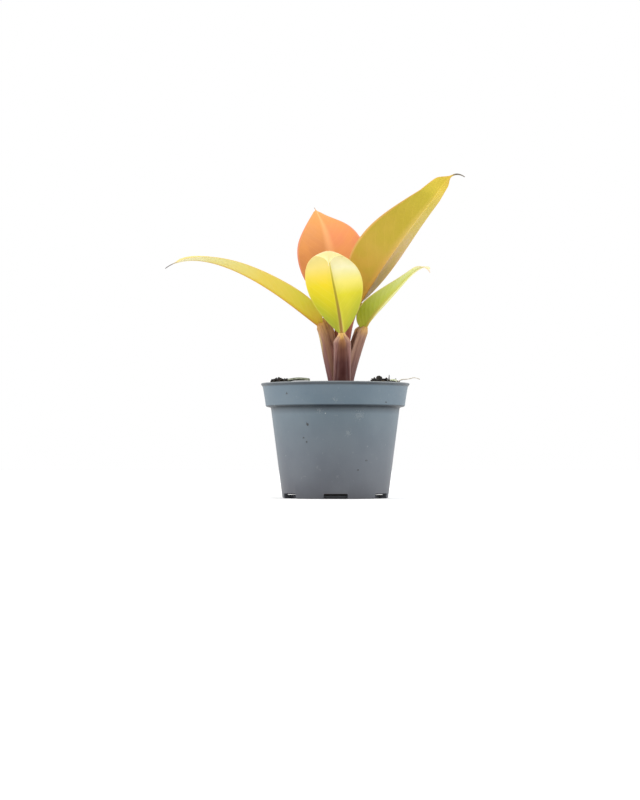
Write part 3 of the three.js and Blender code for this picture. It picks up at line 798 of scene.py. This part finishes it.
# %% Colours of each leaf
LOOKS = {
    # Front leaf: the cream stops from 0.37 up in the low ramp (its right half) and the pale stops from
    # 0.51 up in the high ramp are painted highlight. The hidden ramp, seen on the drooping tip, is kept
    # darker as painted shade against the light that the tip catches.
    "front": {
        "low": [(0, 170, 160, 42), (0.12, 192, 186, 46), (0.27, 224, 212, 44), (0.37, 246, 232, 122),
                (0.5, 250, 243, 200), (0.75, 253, 236, 172)],
        "high": [(0, 156, 146, 38), (0.1, 158, 160, 30), (0.24, 212, 196, 10), (0.36, 240, 214, 34),
                 (0.43, 250, 222, 84), (0.51, 254, 230, 136), (0.65, 254, 234, 166)],
        "hidden": [(0, 150, 164, 44), (0.4, 214, 206, 60), (0.6, 230, 206, 136), (1, 236, 214, 160)],
        "shows_under": True, "rim": (150, 164, 44), "rimmed": 0.7,
        "rib": [(0, 150, 104, 46), (0.15, 142, 110, 42), (0.33, 158, 146, 30), (0.5, 196, 182, 46),
                (0.62, 238, 220, 110)],
        "ribbed": (0.1, 0.9), "softened": 0.1, "patchy": 0.14, "patch": (206, 212, 54),
        "veined": 0.06, "vein": (248, 236, 130), "margin": (244, 222, 130), "margined": 0.2,
        "tip": (234, 210, 150), "tip_from": (0.96, 1), "rough": 0.34, "coat": 0.1,
    },
    "left": {
        "low": [(0, 176, 124, 40), (0.05, 200, 166, 36), (0.2, 208, 192, 24), (0.45, 220, 196, 58),
                (0.7, 216, 208, 122), (0.85, 226, 222, 172)],
        "high": [(0, 176, 126, 40), (0.05, 196, 170, 36), (0.4, 214, 194, 44), (0.7, 218, 208, 110),
                 (0.85, 226, 220, 166)],
        "hidden": [(0, 190, 188, 50), (0.5, 228, 210, 66), (0.75, 240, 224, 110), (0.9, 232, 206, 120)],
        "shows_under": True, "rim": (196, 200, 50), "rimmed": 0.35,
        "rib": [(0, 190, 128, 56), (0.5, 214, 150, 70), (1, 214, 182, 120)],
        "ribbed": (0.4, 0.75), "softened": 0.2, "patchy": 0.2, "patch": (230, 190, 70),
        "veined": 0.06, "vein": (240, 222, 110), "margin": (226, 186, 104), "margined": 0.6,
        "tip": (112, 104, 102), "tip_from": (0.9, 0.97), "rough": 0.38, "coat": 0.06,
    },
    # Small leaf: the darker green of the high ramp, its upper left half, is painted shade.
    "small": {
        "low": [(0, 172, 160, 56), (0.3, 200, 196, 84), (0.6, 212, 210, 104), (0.85, 238, 218, 166),
                (1, 248, 232, 196)],
        "high": [(0, 146, 144, 26), (0.18, 146, 152, 26), (0.4, 172, 178, 50), (0.6, 186, 192, 76),
                 (0.76, 214, 216, 120), (0.9, 238, 226, 170), (1, 248, 232, 196)],
        "hidden": [(0, 136, 148, 34), (0.5, 184, 188, 66), (0.8, 226, 212, 130), (1, 240, 220, 180)],
        "shows_under": True, "rim": (160, 170, 50), "rimmed": 0.25,
        "rib": [(0, 190, 152, 70), (0.5, 206, 200, 104), (1, 236, 220, 170)],
        "ribbed": (0.4, 0.5), "softened": 0.5, "patchy": 0.2, "patch": (176, 186, 50),
        "veined": 0.06, "vein": (210, 214, 110), "margin": (210, 176, 110), "margined": 0.6,
        "tip": (232, 206, 186), "tip_from": (0.93, 1), "rough": 0.38, "coat": 0.06,
    },
    "tall": {
        "low": [(0, 204, 148, 66), (0.2, 184, 138, 74), (0.45, 178, 150, 84), (0.65, 184, 162, 48),
                (0.78, 208, 178, 50), (0.86, 228, 180, 70)],
        "high": [(0, 212, 150, 64), (0.15, 206, 156, 60), (0.35, 194, 162, 62), (0.52, 184, 160, 50),
                 (0.7, 184, 168, 48), (0.8, 218, 192, 66), (0.86, 234, 190, 76)],
        "hidden": [(0, 166, 150, 48), (0.5, 192, 176, 54), (0.85, 226, 184, 76)],
        "shows_under": True, "rim": (196, 150, 70), "rimmed": 0.3,
        "rib": [(0, 208, 142, 68), (0.25, 212, 160, 78), (0.5, 212, 182, 96), (0.8, 216, 190, 62)],
        "ribbed": (0.4, 0.7), "softened": 0.6, "patchy": 0.45, "patch": (178, 160, 44),
        "veined": 0.08, "vein": (212, 180, 80), "margin": (226, 168, 104), "margined": 0.6,
        "tip": (110, 100, 84), "tip_from": (0.86, 0.92), "rough": 0.42, "coat": 0.02,
    },
    "back": {
        "low": [(0, 196, 122, 66), (0.4, 210, 134, 74), (0.65, 220, 148, 90), (0.85, 234, 160, 92),
                (1, 240, 168, 92)],
        "high": [(0, 212, 136, 80), (0.4, 224, 138, 88), (0.65, 232, 144, 94), (0.85, 236, 158, 92),
                 (1, 240, 168, 92)],
        "hidden": [(0, 196, 130, 70), (0.5, 226, 148, 88), (1, 244, 176, 104)],
        "shows_under": False, "rim": (236, 128, 100), "rimmed": 0.55,
        "rib": [(0, 222, 146, 88), (0.5, 242, 170, 114), (1, 248, 184, 116)],
        "ribbed": (0.5, 0.8), "softened": 0.8, "patchy": 0.4, "patch": (232, 156, 80),
        "veined": 0.06, "vein": (250, 180, 124), "margin": (236, 150, 128), "margined": 0.6,
        "tip": (176, 156, 140), "tip_from": (0.95, 1), "rough": 0.45, "coat": 0.02,
    },
}

for name, blade in blades.items():
    solid = "blade_" + name
    finish_piece(blade, "leaf_" + name, leaf_material(name, LOOKS[name]), solid, solid)

# %% [markdown]
# ## Leaf stalks
# Each stalk clasps the next one with a sheath: its lower part is a gutter with a rounded keel outside
# and thin wings that fold inwards, and near the leaf it draws together to a round neck. A grid rolled
# into a tube gives this shape. Its two long edges are merged, its ends are filled, and each ring is
# set across the stalk's path. Three of the stalks have creases beside the keel, and each has a shallow
# slot pressed into its upper half. The neck runs on a little, into the base of the leaf's midrib.

# %% Stalk: shape
STALK_ROWS = 72
STALK_SIDES = 48
CROWN_TOP = 37
GAP = 0.3
NECK_LEAD = 2.5
NECK_SUNK = 1.6
SLOT_DEPTH = 0.3


def sized(sizes, shoulder, t):
    """Size at t, from foot to sheath and from the shoulder to the neck."""
    foot, sheath, neck = sizes
    return lerp(lerp(foot, sheath, min(t / 0.5, 1)), neck, ease(shoulder, 1, t))


def stalk_point(leaf, place, t, turn):
    """Place of a point of the stalk, at t along it and turn round it."""
    at, along, across, up = place
    width, keel, inner = [sized(leaf[size], leaf["shoulder"], t) for size in ("width", "keel", "inner")]
    u = width * math.cos(turn)
    curl = leaf["wrap"] - math.sqrt(leaf["wrap"] ** 2 - u * u)
    if math.sin(turn) > 0:
        deep = inner * math.sin(turn)
    else:
        beside = abs(math.cos(turn)) - lerp(0.72, 0.42, t)
        crease = leaf["crease"] * math.exp(-((beside / 0.1) ** 2))
        deep = keel * math.sin(turn) * (1 - crease * ease(1, 0.88, t))
    slot_turn, slot_low, slot_high = leaf["slot"]
    opened = math.exp(-(((turn - slot_turn) / 0.24) ** 2)) * ease(slot_low, slot_low + 0.12, t)
    inwards = 1 - SLOT_DEPTH * opened * ease(slot_high, slot_high - 0.05, t)
    u, deep = u * inwards, deep * inwards
    return at + across * u + up * (deep + curl)


def roll_tube(rows, sides, place):
    """A closed tube. place(t, turn) gives a point in millimetres at t along it and turn round it."""
    bpy.ops.object.select_all(action="DESELECT")
    bpy.ops.mesh.primitive_grid_add(x_subdivisions=sides, y_subdivisions=rows, size=1)
    tube = bpy.context.object
    for vertex in tube.data.vertices:
        t = round(min(max(vertex.co.y + 0.5, 0), 1), 5)
        vertex.co = place(t, 2 * math.pi * (vertex.co.x + 0.5)) * MM
    edit(tube)
    bpy.ops.mesh.remove_doubles(threshold=1e-6)
    bpy.ops.mesh.fill_holes(sides=0)
    close_edit()
    return tube


def make_stalk(leaf):
    """A stalk from the crown to the neck of its leaf."""
    start, along, _, _ = frame_on(leaf["path"], leaf["turns"], 0)
    neck = start - along * GAP
    foot = Vector((*leaf["foot"], CROWN_TOP + GAP * 1.4))
    path = [foot, *vectors(leaf["bends"]), neck - along * NECK_LEAD, neck + along * NECK_SUNK]
    turns = [Vector(leaf["foot_face"]).normalized(), leaf["turns"][0]]
    places = {}

    def place(t, turn):
        if t not in places:
            places[t] = frame_on(path, turns, t)
        return stalk_point(leaf, places[t], t, turn)

    return roll_tube(STALK_ROWS, STALK_SIDES, place)


stalks = {name: make_stalk(leaf) for name, leaf in LEAVES.items()}
print("stalks:", {name: len(stalk.data.polygons) for name, stalk in stalks.items()})

# %% [markdown]
# The keel of each stalk is maroon, darkest near the soil, and its wings are a dusty mauve that pales
# to gold near the leaf. Fine streaks run along it. The left stalk has one long pale mark, and on each
# of the others a long dark band runs along the slot in its gutter as painted shade. On the rolled grid
# the UV map runs round the stalk in one direction and along it in the other, so a band round the
# keel's middle is easy.

# %% Stalk material
MARK_AND_SLOT_SHADE_WIDTH = 0.09


def stalk_colour(tree, grid, cloudy, streaks, looks):
    """Colour of one stalk: keel, wings, edges, its one mark (painted shade along the slot on all but
    the left stalk), streaks and patches.
    """
    parts = add_node(tree, "SeparateXYZ", {0: grid["UV"]}).outputs
    round_it = times(tree, parts["X"], 2 * math.pi)
    sideways = sums(tree, "ABSOLUTE", sums(tree, "COSINE", round_it))
    outside = between(tree, sums(tree, "SINE", round_it), 0.1, -0.1)
    past = minus(tree, sideways, mix_numbers(tree, parts["Y"], *looks["keel_width"]))
    on_keel = times(tree, between(tree, past, 0.08, -0.08), outside)
    wing, keel = [ramp(tree, parts["Y"], looks[part]) for part in ("wing", "keel")]
    colour = blend_colours(tree, on_keel, wing, keel)
    colour = tint(tree, colour, between(tree, sideways, 0.93, 0.995), looks["edge"], looks["edged"])

    # On every stalk but the left one, this mark is painted shade along the slot in the gutter.
    turned_by, low, high = looks["mark_and_slot_shade_at"]
    middle = (low + high) / 2
    aside = sums(tree, "ABSOLUTE", minus(tree, parts["X"], turned_by))
    ends = sums(tree, "ABSOLUTE", minus(tree, parts["Y"], middle))
    ends = sums(tree, "DIVIDE", ends, high - middle)
    far = plus(tree, sums(tree, "DIVIDE", aside, MARK_AND_SLOT_SHADE_WIDTH), ends)
    far = plus(tree, far, minus(tree, streaks, 0.5))
    colour = tint(tree, colour, between(tree, far, 1.1, 0.3), looks["mark"], 0.6)
    colour = tint(tree, colour, between(tree, streaks, 0.45, 0.7), looks["streak"], 0.5)
    return tint(tree, colour, cloudy, looks["patch"], 0.18)


def stalk_material(name, looks):
    """Material of one stalk. looks holds its rows of colour stops and its other values."""
    material, tree, shader, grid = start_material("stalk_" + name, Specular_IOR_Level=0.25, IOR=1.45)
    long_way = add_node(tree, "Mapping", {"Vector": grid["UV"], "Scale": (46, 5, 1)}).outputs[0]
    streaks = cloud(tree, long_way, 1.0, 3.0)
    cloudy = use_group(tree, patches_group, {"Place": grid["Object"], "Size": 0.004})["Mask"]
    tree.links.new(stalk_colour(tree, grid, cloudy, streaks, looks), shader["Base Color"])
    tree.links.new(plus(tree, 0.4, times(tree, cloudy, 0.12)), shader["Roughness"])
    grain = use_group(tree, grain_group, {"Place": grid["Object"], "Size": 0.0003})["Height"]
    bump(tree, shader, plus(tree, streaks, times(tree, grain, 0.2)), 0.5, 0.00015)
    return material


# %% Colours of each stalk
# The dark mark colours of the front, small, tall and back stalks are painted shade along the slot. The
# left stalk's mark is pale.
STALK_LOOKS = {
    "front": {
        "keel": [(0, 68, 34, 32), (0.45, 82, 42, 38), (0.66, 112, 68, 48), (0.84, 156, 106, 62),
                 (0.91, 214, 166, 86), (1, 232, 188, 104)],
        "wing": [(0, 86, 48, 48), (0.4, 116, 74, 70), (0.75, 148, 106, 94), (0.89, 178, 136, 108),
                 (0.95, 222, 176, 100)],
        "edge": (194, 160, 138), "edged": 0.5, "keel_width": (1.02, 0.28),
        "mark": (84, 44, 42), "mark_and_slot_shade_at": (0.25, 0.6, 0.9),
        "streak": (76, 38, 38), "patch": (128, 84, 74),
    },
    "left": {
        "keel": [(0, 92, 48, 56), (0.4, 108, 64, 62), (0.6, 124, 82, 66), (0.74, 160, 118, 76),
                 (0.92, 188, 140, 72), (1, 196, 142, 60)],
        "wing": [(0, 92, 48, 56), (0.4, 110, 66, 64), (0.6, 124, 80, 68), (0.74, 156, 112, 80),
                 (0.92, 184, 136, 72), (1, 196, 142, 60)],
        "edge": (176, 140, 100), "edged": 0.3, "keel_width": (0.7, 0.5),
        "mark": (206, 186, 120), "mark_and_slot_shade_at": (0.68, 0.5, 0.86),
        "streak": (88, 46, 42), "patch": (150, 100, 72),
    },
    "small": {
        "keel": [(0, 94, 60, 62), (0.4, 114, 80, 74), (0.8, 142, 106, 86), (0.93, 190, 148, 82),
                 (1, 200, 156, 72)],
        "wing": [(0, 98, 62, 64), (0.4, 122, 86, 80), (0.8, 158, 120, 98), (0.93, 196, 154, 88),
                 (1, 200, 156, 72)],
        "edge": (204, 164, 140), "edged": 0.5, "keel_width": (0.7, 0.5),
        "mark": (96, 56, 46), "mark_and_slot_shade_at": (0.1, 0.6, 0.94),
        "streak": (92, 58, 56), "patch": (140, 100, 88),
    },
    "tall": {
        "keel": [(0, 96, 50, 44), (0.5, 136, 70, 58), (0.9, 176, 114, 64), (1, 206, 154, 68)],
        "wing": [(0, 104, 56, 50), (0.5, 144, 78, 62), (0.9, 180, 120, 66), (1, 206, 154, 68)],
        "edge": (170, 110, 80), "edged": 0.3, "keel_width": (0.8, 0.6),
        "mark": (120, 66, 52), "mark_and_slot_shade_at": (0.25, 0.3, 0.9),
        "streak": (96, 44, 40), "patch": (156, 90, 64),
    },
    "back": {
        "keel": [(0, 104, 56, 48), (0.5, 150, 82, 64), (0.9, 196, 124, 78), (1, 216, 144, 86)],
        "wing": [(0, 112, 62, 54), (0.5, 156, 90, 70), (0.9, 200, 130, 82), (1, 216, 146, 88)],
        "edge": (190, 130, 100), "edged": 0.4, "keel_width": (0.8, 0.6),
        "mark": (120, 66, 52), "mark_and_slot_shade_at": (0.25, 0.3, 0.85),
        "streak": (104, 50, 42), "patch": (170, 102, 72),
    },
}

for name, stalk in stalks.items():
    solid = "petiole_" + name
    finish_piece(stalk, "stalk_" + name, stalk_material(name, STALK_LOOKS[name]), solid, solid)

# %% [markdown]
# ## Soil
# The soil is a dark peaty mix. Its bed fills the pot: a circle extruded up the inside of the wall,
# then inset again and again across the top. The top is raised and lowered by the same gentle lumps
# and heaps as the solid, with finer noise over them. Where the stalks come up, it closes round them.

# %% Soil: height of its surface
SOIL_TOP = 44.4
HEAPS = [(-22, -13, 1.8, 6), (18, -17, 1.8, 6), (6, 19, 1.1, 7)]
SOIL_NOISE = [(0.4, 0.45), (0.3, 1.1), (0.2, 2.6)]


def soil_height(x, y):
    """Height of the soil at a place, in millimetres."""
    lumps = math.sin(x * 0.55 + 1.3) * math.cos(y * 0.48 - 0.4) + 0.6 * math.sin(x * 1.1 - y * 0.9)
    heaped = 0
    for middle_x, middle_y, high, wide in HEAPS:
        heaped += high * math.exp(-((x - middle_x) ** 2 + (y - middle_y) ** 2) / wide ** 2)
    fine = 0
    for high, scale in SOIL_NOISE:
        fine += high * noise.noise(Vector((x, y, 0)) * scale)
    return SOIL_TOP + 0.45 * lumps + heaped + fine


print("soil at the middle:", round(soil_height(0, 0), 1), "mm")

# %% Soil: bed
BED_SIDES = 120
BED_PROFILE = [
    (19.8, 1.65), (20.3, 2.4), (21.6, 11), (23.3, 24), (24.9, 36), (26.8, 39), (27.5, 42),
    (27.9, SOIL_TOP),
]
BED_INSETS = 34

bed = raise_rings(BED_SIDES, BED_PROFILE)
for _ in range(BED_INSETS):
    bpy.ops.mesh.inset(thickness=BED_PROFILE[-1][0] / (BED_INSETS + 1) * MM, depth=0)
close_edit()
for vertex in bed.data.vertices:
    x, y, z = vertex.co / MM
    if z > SOIL_TOP - 0.01:
        vertex.co.z = soil_height(x, y) * MM
print("soil bed with", len(bed.data.polygons), "faces")

# %% [markdown]
# Over the bed lie hundreds of loose crumbs. Four crumbs are modelled, each a small sphere of triangles
# dented by noise, and every crumb in the pot is a turned and scaled copy of one of them. Each has few
# faces, because there are so many. They lie closer on the two heaps at the front rim.

# %% Soil: crumbs
CRUMBS = 900
CRUMB_SIZES = (0.45, 1.7)
CRUMB_DEPTHS = (0.7, 1)
CRUMB_HEIGHTS = (0.75, 1)
CRUMB_TURNS = (0, 6.28)
CRUMBS_BELOW = 46.9
CRUMB_REACH = 27.2
WALL_INSIDE = 27.8
HEAPED_SHARE = 0.3
BUNDLE = Vector((2.3, 0.2))
STALK_CLEAR = 4.6
random.seed(11)


def dented_ball(detail, dent, seed):
    """A rough lump of about 1 mm radius."""
    bpy.ops.object.select_all(action="DESELECT")
    bpy.ops.mesh.primitive_ico_sphere_add(subdivisions=detail, radius=1)
    ball = bpy.context.object
    shift = Vector((seed * 7.3, seed * 3.1, seed * 5.7))
    for vertex in ball.data.vertices:
        direction = vertex.co.normalized()
        broad = dent * noise.noise(direction * 1.6 + shift)
        fine = dent * 0.6 * noise.noise(direction * 4 + shift)
        vertex.co = direction * (1 + (broad + fine)) * MM
    return ball


def copy_at(master, place, size):
    """A turned copy of a lump with its own mesh, its middle at a place in millimetres."""
    other = master.copy()
    other.data = master.data.copy()
    bpy.context.collection.objects.link(other)
    other.location = Vector(place) * MM
    other.rotation_euler = [random.uniform(*CRUMB_TURNS) for _ in range(3)]
    other.scale = (size, size * random.uniform(*CRUMB_DEPTHS), size * random.uniform(*CRUMB_HEIGHTS))
    return other


def join_copies(copies, masters):
    """Joins copies into one piece and removes what they were copied from."""
    for master in masters:
        bpy.data.objects.remove(master)
    select_only(*copies)
    bpy.ops.object.join()
    joined = bpy.context.object
    bpy.ops.object.transform_apply(location=True, rotation=True, scale=True)
    return joined


masters = [dented_ball(2, 0.75, seed) for seed in range(4)]
crumbs = []
while len(crumbs) < CRUMBS:
    size = lerp(*CRUMB_SIZES, random.random() ** 2.6)
    angle, share = random.uniform(0, 2 * math.pi), math.sqrt(random.random())
    middle_x, middle_y, wide = 0, 0, CRUMB_REACH
    if random.random() < HEAPED_SHARE:
        middle_x, middle_y, _, wide = random.choice(HEAPS[:2])
    x = middle_x + wide * share * math.cos(angle)
    y = middle_y + wide * share * math.sin(angle)
    clear = (Vector((x, y)) - BUNDLE).length > STALK_CLEAR + size
    if clear and math.hypot(x, y) + size < WALL_INSIDE:
        z = min(soil_height(x, y) + size * 0.25, CRUMBS_BELOW - size)
        crumbs.append(copy_at(random.choice(masters), (x, y, z), size))
loose_crumbs = join_copies(crumbs, masters)
print("crumbs:", CRUMBS)

# %% [markdown]
# At the rim the soil is heaped so high that dark lumps and a splinter of bark show above the pot. The
# lumps are larger than the crumbs, so they are modelled with more faces, and smaller bits lie round
# them.

# %% Soil: lumps at the rim
LUMPS = [
    (-25.2, -7.5, 1.1), (-24, -10.8, 1.5), (-21.6, -14, 1.7), (-19.6, -17.2, 1.3),
    (15.4, -20.2, 1.3), (17.6, -18.4, 1.7), (20, -16.6, 1.3), (24, -9.6, 1.2),
]
LUMP_HEIGHT = 47.1
LUMP_SCALE = 0.94
BITS = 26
BIT_HEIGHTS = (46.2, 47.5)
BIT_SIZES = (0.25, 0.55)
BITS_WITHIN = 28

masters = [dented_ball(3, 0.7, seed + 9) for seed in range(3)]
lumps = []
for x, y, size in LUMPS:
    lumps.append(copy_at(random.choice(masters), (x, y, LUMP_HEIGHT), size * LUMP_SCALE))
for _ in range(BITS):
    x, y, size = random.choice(LUMPS)
    angle = random.uniform(0, 2 * math.pi)
    far = size * random.uniform(0.8, 1.7)
    place = (x + far * math.cos(angle), y + far * math.sin(angle), random.uniform(*BIT_HEIGHTS))
    if math.hypot(place[0], place[1]) < BITS_WITHIN:
        lumps.append(copy_at(random.choice(masters), place, random.uniform(*BIT_SIZES)))
rim_lumps = join_copies(lumps, masters)
print("rim lumps with", len(rim_lumps.data.polygons), "faces")

# %% Soil: the splinter
SPLINTER_PLACE = (21.4, -15.2, 47.2)
SPLINTER_LEAN = (0.12, 0.05, 0)
SPLINTER_LENGTH = 5
SPLINTER_FOOT = 0.65
SPLINTER_POINT = 0.12

bpy.ops.object.select_all(action="DESELECT")
bpy.ops.mesh.primitive_cone_add(
    vertices=10, radius1=SPLINTER_FOOT * MM, radius2=SPLINTER_POINT * MM, depth=SPLINTER_LENGTH * MM,
    location=[part * MM for part in SPLINTER_PLACE], rotation=SPLINTER_LEAN,
)
splinter = bpy.context.object
edit(splinter)
bpy.ops.mesh.subdivide(number_cuts=4)
bpy.ops.object.mode_set(mode="OBJECT")
for vertex in splinter.data.vertices:
    place = vertex.co * 700
    vertex.co += Vector((noise.noise(place), noise.noise(place + Vector((5, 0, 0))), 0)) * 0.1 * MM
select_only(splinter, rim_lumps)
bpy.ops.object.join()
print("rim lumps with the splinter:", len(rim_lumps.data.polygons), "faces")

# %% [markdown]
# Wet peat is nearly black, and each crumb dries to its own brown, so a broad pattern changes the tone
# from crumb to crumb while a fine one pits the surface. It has hardly any gloss.

# %% Soil material
soil_mix, tree, shader, grid = start_material("soil_mix", Specular_IOR_Level=0.25)
broad = cloud(tree, grid["Object"], 420.0, 2.0)
fine = cloud(tree, grid["Object"], 2200.0, 4.0)
colour = ramp(tree, broad, [
    (0.3, 26, 25, 25), (0.5, 44, 40, 37), (0.62, 58, 50, 43), (0.75, 82, 68, 54),
])
colour = tint(tree, colour, between(tree, fine, 0.4, 0.75), (30, 28, 27))
tree.links.new(colour, shader["Base Color"])
tree.links.new(plus(tree, 0.75, times(tree, fine, 0.2)), shader["Roughness"])
bump(tree, shader, plus(tree, fine, times(tree, broad, 2.0)), 0.8, 0.0002)
finish_piece(bed, "soil_bed", soil_mix, "soil", "soil", smooth=70)
finish_piece(loose_crumbs, "soil_crumbs", soil_mix, "soil", smooth=30)
finish_piece(rim_lumps, "rim_lumps", soil_mix, "soil", smooth=35)

# %% [markdown]
# ## Flakes and a fibre on the rim
# An olive flake of bark lies across the rim at the left, a pale one stands at the right, and a thin
# whitish root fibre reaches out over the edge beside it. The flakes are thin, a little arched, with a
# broken outline and long grain. They are shaped like the blades, from a grid with a second face.

# %% Flakes: shape
FLAKE_COLUMNS = 28
FLAKE_ROWS = 14


def make_flake(place, size, turns, seed):
    """A thin arched flake with a ragged edge. Place and size are in millimetres, turns in degrees."""
    length, width, thick = size
    flake = make_sheet(FLAKE_COLUMNS, FLAKE_ROWS)
    for vertex in flake.data.vertices:
        along, across = vertex.co.x * 2, vertex.co.y * 2
        face = 1 if vertex.co.z > 0 else -1
        half = width / 2 * (1 - 0.55 * along ** 2) * (1 + 0.12 * math.sin(5 * along + 1))
        ragged = 1 + 0.16 * noise.noise(Vector((along * 4, math.copysign(3, across), seed)))
        grain = 0.07 * noise.noise(Vector((along * 2, across * 9, seed + face)))
        arch = 0.35 * (1 - along ** 2) - 0.2 * across ** 2
        vertex.co = Vector((
            length / 2 * along * (1 + 0.04 * noise.noise(Vector((across * 3, 9, seed)))),
            half * across * ragged,
            face * (thick / 2 - 0.12 * abs(across) ** 3) + arch + grain,
        )) * MM
    flake.location = [part * MM for part in place]
    flake.rotation_euler = [math.radians(turn) for turn in turns]
    return flake


def flake_material(name, pale, dark):
    """Material of a flake with grain along it."""
    material, tree, shader, grid = start_material("flake_" + name, Specular_IOR_Level=0.3)
    long_way = add_node(tree, "Mapping", {"Vector": grid["UV"], "Scale": (3, 16, 1)}).outputs[0]
    grain = cloud(tree, long_way, 1.5, 5.0)
    colour = blend_colours(tree, between(tree, grain, 0.4, 0.66), screen(*pale), screen(*dark))
    inputs = {"Place": grid["Object"], "Size": 0.0011, "Radius": 0.25, "Share": 0.25}
    colour = tint(tree, colour, use_group(tree, specks_group, inputs)["Mask"], (62, 58, 50), 0.5)
    tree.links.new(colour, shader["Base Color"])
    tree.links.new(plus(tree, 0.6, times(tree, grain, 0.3)), shader["Roughness"])
    bump(tree, shader, grain, 0.7, 0.0002)
    return material


# %% Flakes: the olive one and the pale one
FLAKES = {
    "olive": {
        "place": (-14.6, -24.5, 47.5), "size": (9.4, 3.4, 0.8), "turns": (-8, 0, -31), "seed": 1,
        "tones": [(132, 136, 118), (94, 96, 80)],
    },
    "pale": {
        "place": (22.6, -12.6, 47.3), "size": (4.2, 2.6, 0.7), "turns": (-12, -6, -25), "seed": 2,
        "tones": [(226, 230, 208), (176, 184, 128)],
    },
}

for name, flake in FLAKES.items():
    solid = "flake_" + name
    piece = make_flake(flake["place"], flake["size"], flake["turns"], flake["seed"])
    finish_piece(piece, "bark_flake_" + name, flake_material(name, *flake["tones"]), solid, solid)

# %% Fibre
FIBRE_ROUTE = vectors([
    (24.2, -3.4, 45.2), (26.2, -3.2, 47.9), (29.8, -3, 48.5), (32.2, -2.7, 49), (34.4, -2.4, 48.4),
])
FIBRE_RADIUS = 0.27


def route_point(points, t):
    """Point at t on a smooth curve through the points."""
    spans = len(points) - 1
    span = min(int(t * spans), spans - 1)
    share = t * spans - span
    near = [points[min(max(span + step, 0), spans)] for step in (-1, 0, 1, 2)]
    bow = (near[2] - near[0]) * 0.5, (near[3] - near[1]) * 0.5
    cubed, squared = share ** 3, share ** 2
    return (
        near[1] * (2 * cubed - 3 * squared + 1) + bow[0] * (cubed - 2 * squared + share)
        + near[2] * (3 * squared - 2 * cubed) + bow[1] * (cubed - squared)
    )


def fibre_place(t, turn):
    """Place on the fibre's skin, which thins and thickens along it."""
    step = 0.01
    at = route_point(FIBRE_ROUTE, t)
    ahead = route_point(FIBRE_ROUTE, min(t + step, 1))
    along = (ahead - route_point(FIBRE_ROUTE, max(t - step, 0))).normalized()
    across = along.cross(Vector((0, 1, 0))).normalized()
    radius = FIBRE_RADIUS * (1 - 0.45 * t) * (1 + 0.3 * noise.noise(Vector((t * 30, 0, 0))))
    return at + (across * math.cos(turn) + along.cross(across) * math.sin(turn)) * radius


fibre_skin, tree, shader, grid = start_material("fibre_skin", Specular_IOR_Level=0.3, Roughness=0.7)
tone = cloud(tree, grid["Object"], 900.0, 3.0)
colour = ramp(tree, tone, [(0.35, 228, 222, 208), (0.7, 176, 164, 146)])
tree.links.new(colour, shader["Base Color"])
bump(tree, shader, tone, 0.5, 0.0001)
finish_piece(roll_tube(60, 12, fibre_place), "root_fibre_skin", fibre_skin, "fibre", "root_fibre")

# %% [markdown]
# ## Finishes of what stays as built, and the floor
# The crown with its roots is hidden in the soil, so its solid stays. It gets pale fleshy skin all the
# same, for whoever lifts the plant out. The floor is a plain matt white.

# %% Roots and floor materials
root_skin, tree, shader, grid = start_material("root_skin", Specular_IOR_Level=0.35)
tone = cloud(tree, grid["Object"], 300.0, 5.0)
colour = ramp(tree, tone, [(0.35, 206, 184, 146), (0.7, 150, 120, 84)])
tree.links.new(colour, shader["Base Color"])
tree.links.new(plus(tree, 0.5, times(tree, tone, 0.3)), shader["Roughness"])
bump(tree, shader, tone, 0.6, 0.0003)
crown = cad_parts["crown_and_roots"]
crown.material_slots[0].material = root_skin

floor_matt, tree, shader, grid = start_material("floor_matt", Specular_IOR_Level=0.2, Roughness=0.8)
soft = use_group(tree, patches_group, {"Place": grid["Object"], "Size": 0.5})["Mask"]
colour = blend_colours(tree, soft, (0.97, 0.97, 0.97, 1), (0.96, 0.96, 0.96, 1))
tree.links.new(colour, shader["Base Color"])
floor.data.materials.append(floor_matt)
print("materials:", len(bpy.data.materials))

# %% [markdown]
# ## Last look
# The dressed plant has to stay inside the box of its solids, apart from a hair. Both boxes are
# written down, so that they can be compared.

# %% Sizes and end
dressed_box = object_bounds()
for label, (low, high) in (("solids", solid_box), ("dressed", dressed_box)):
    print(label, [round((b - a) / MM, 1) for a, b in zip(low, high)], "mm")
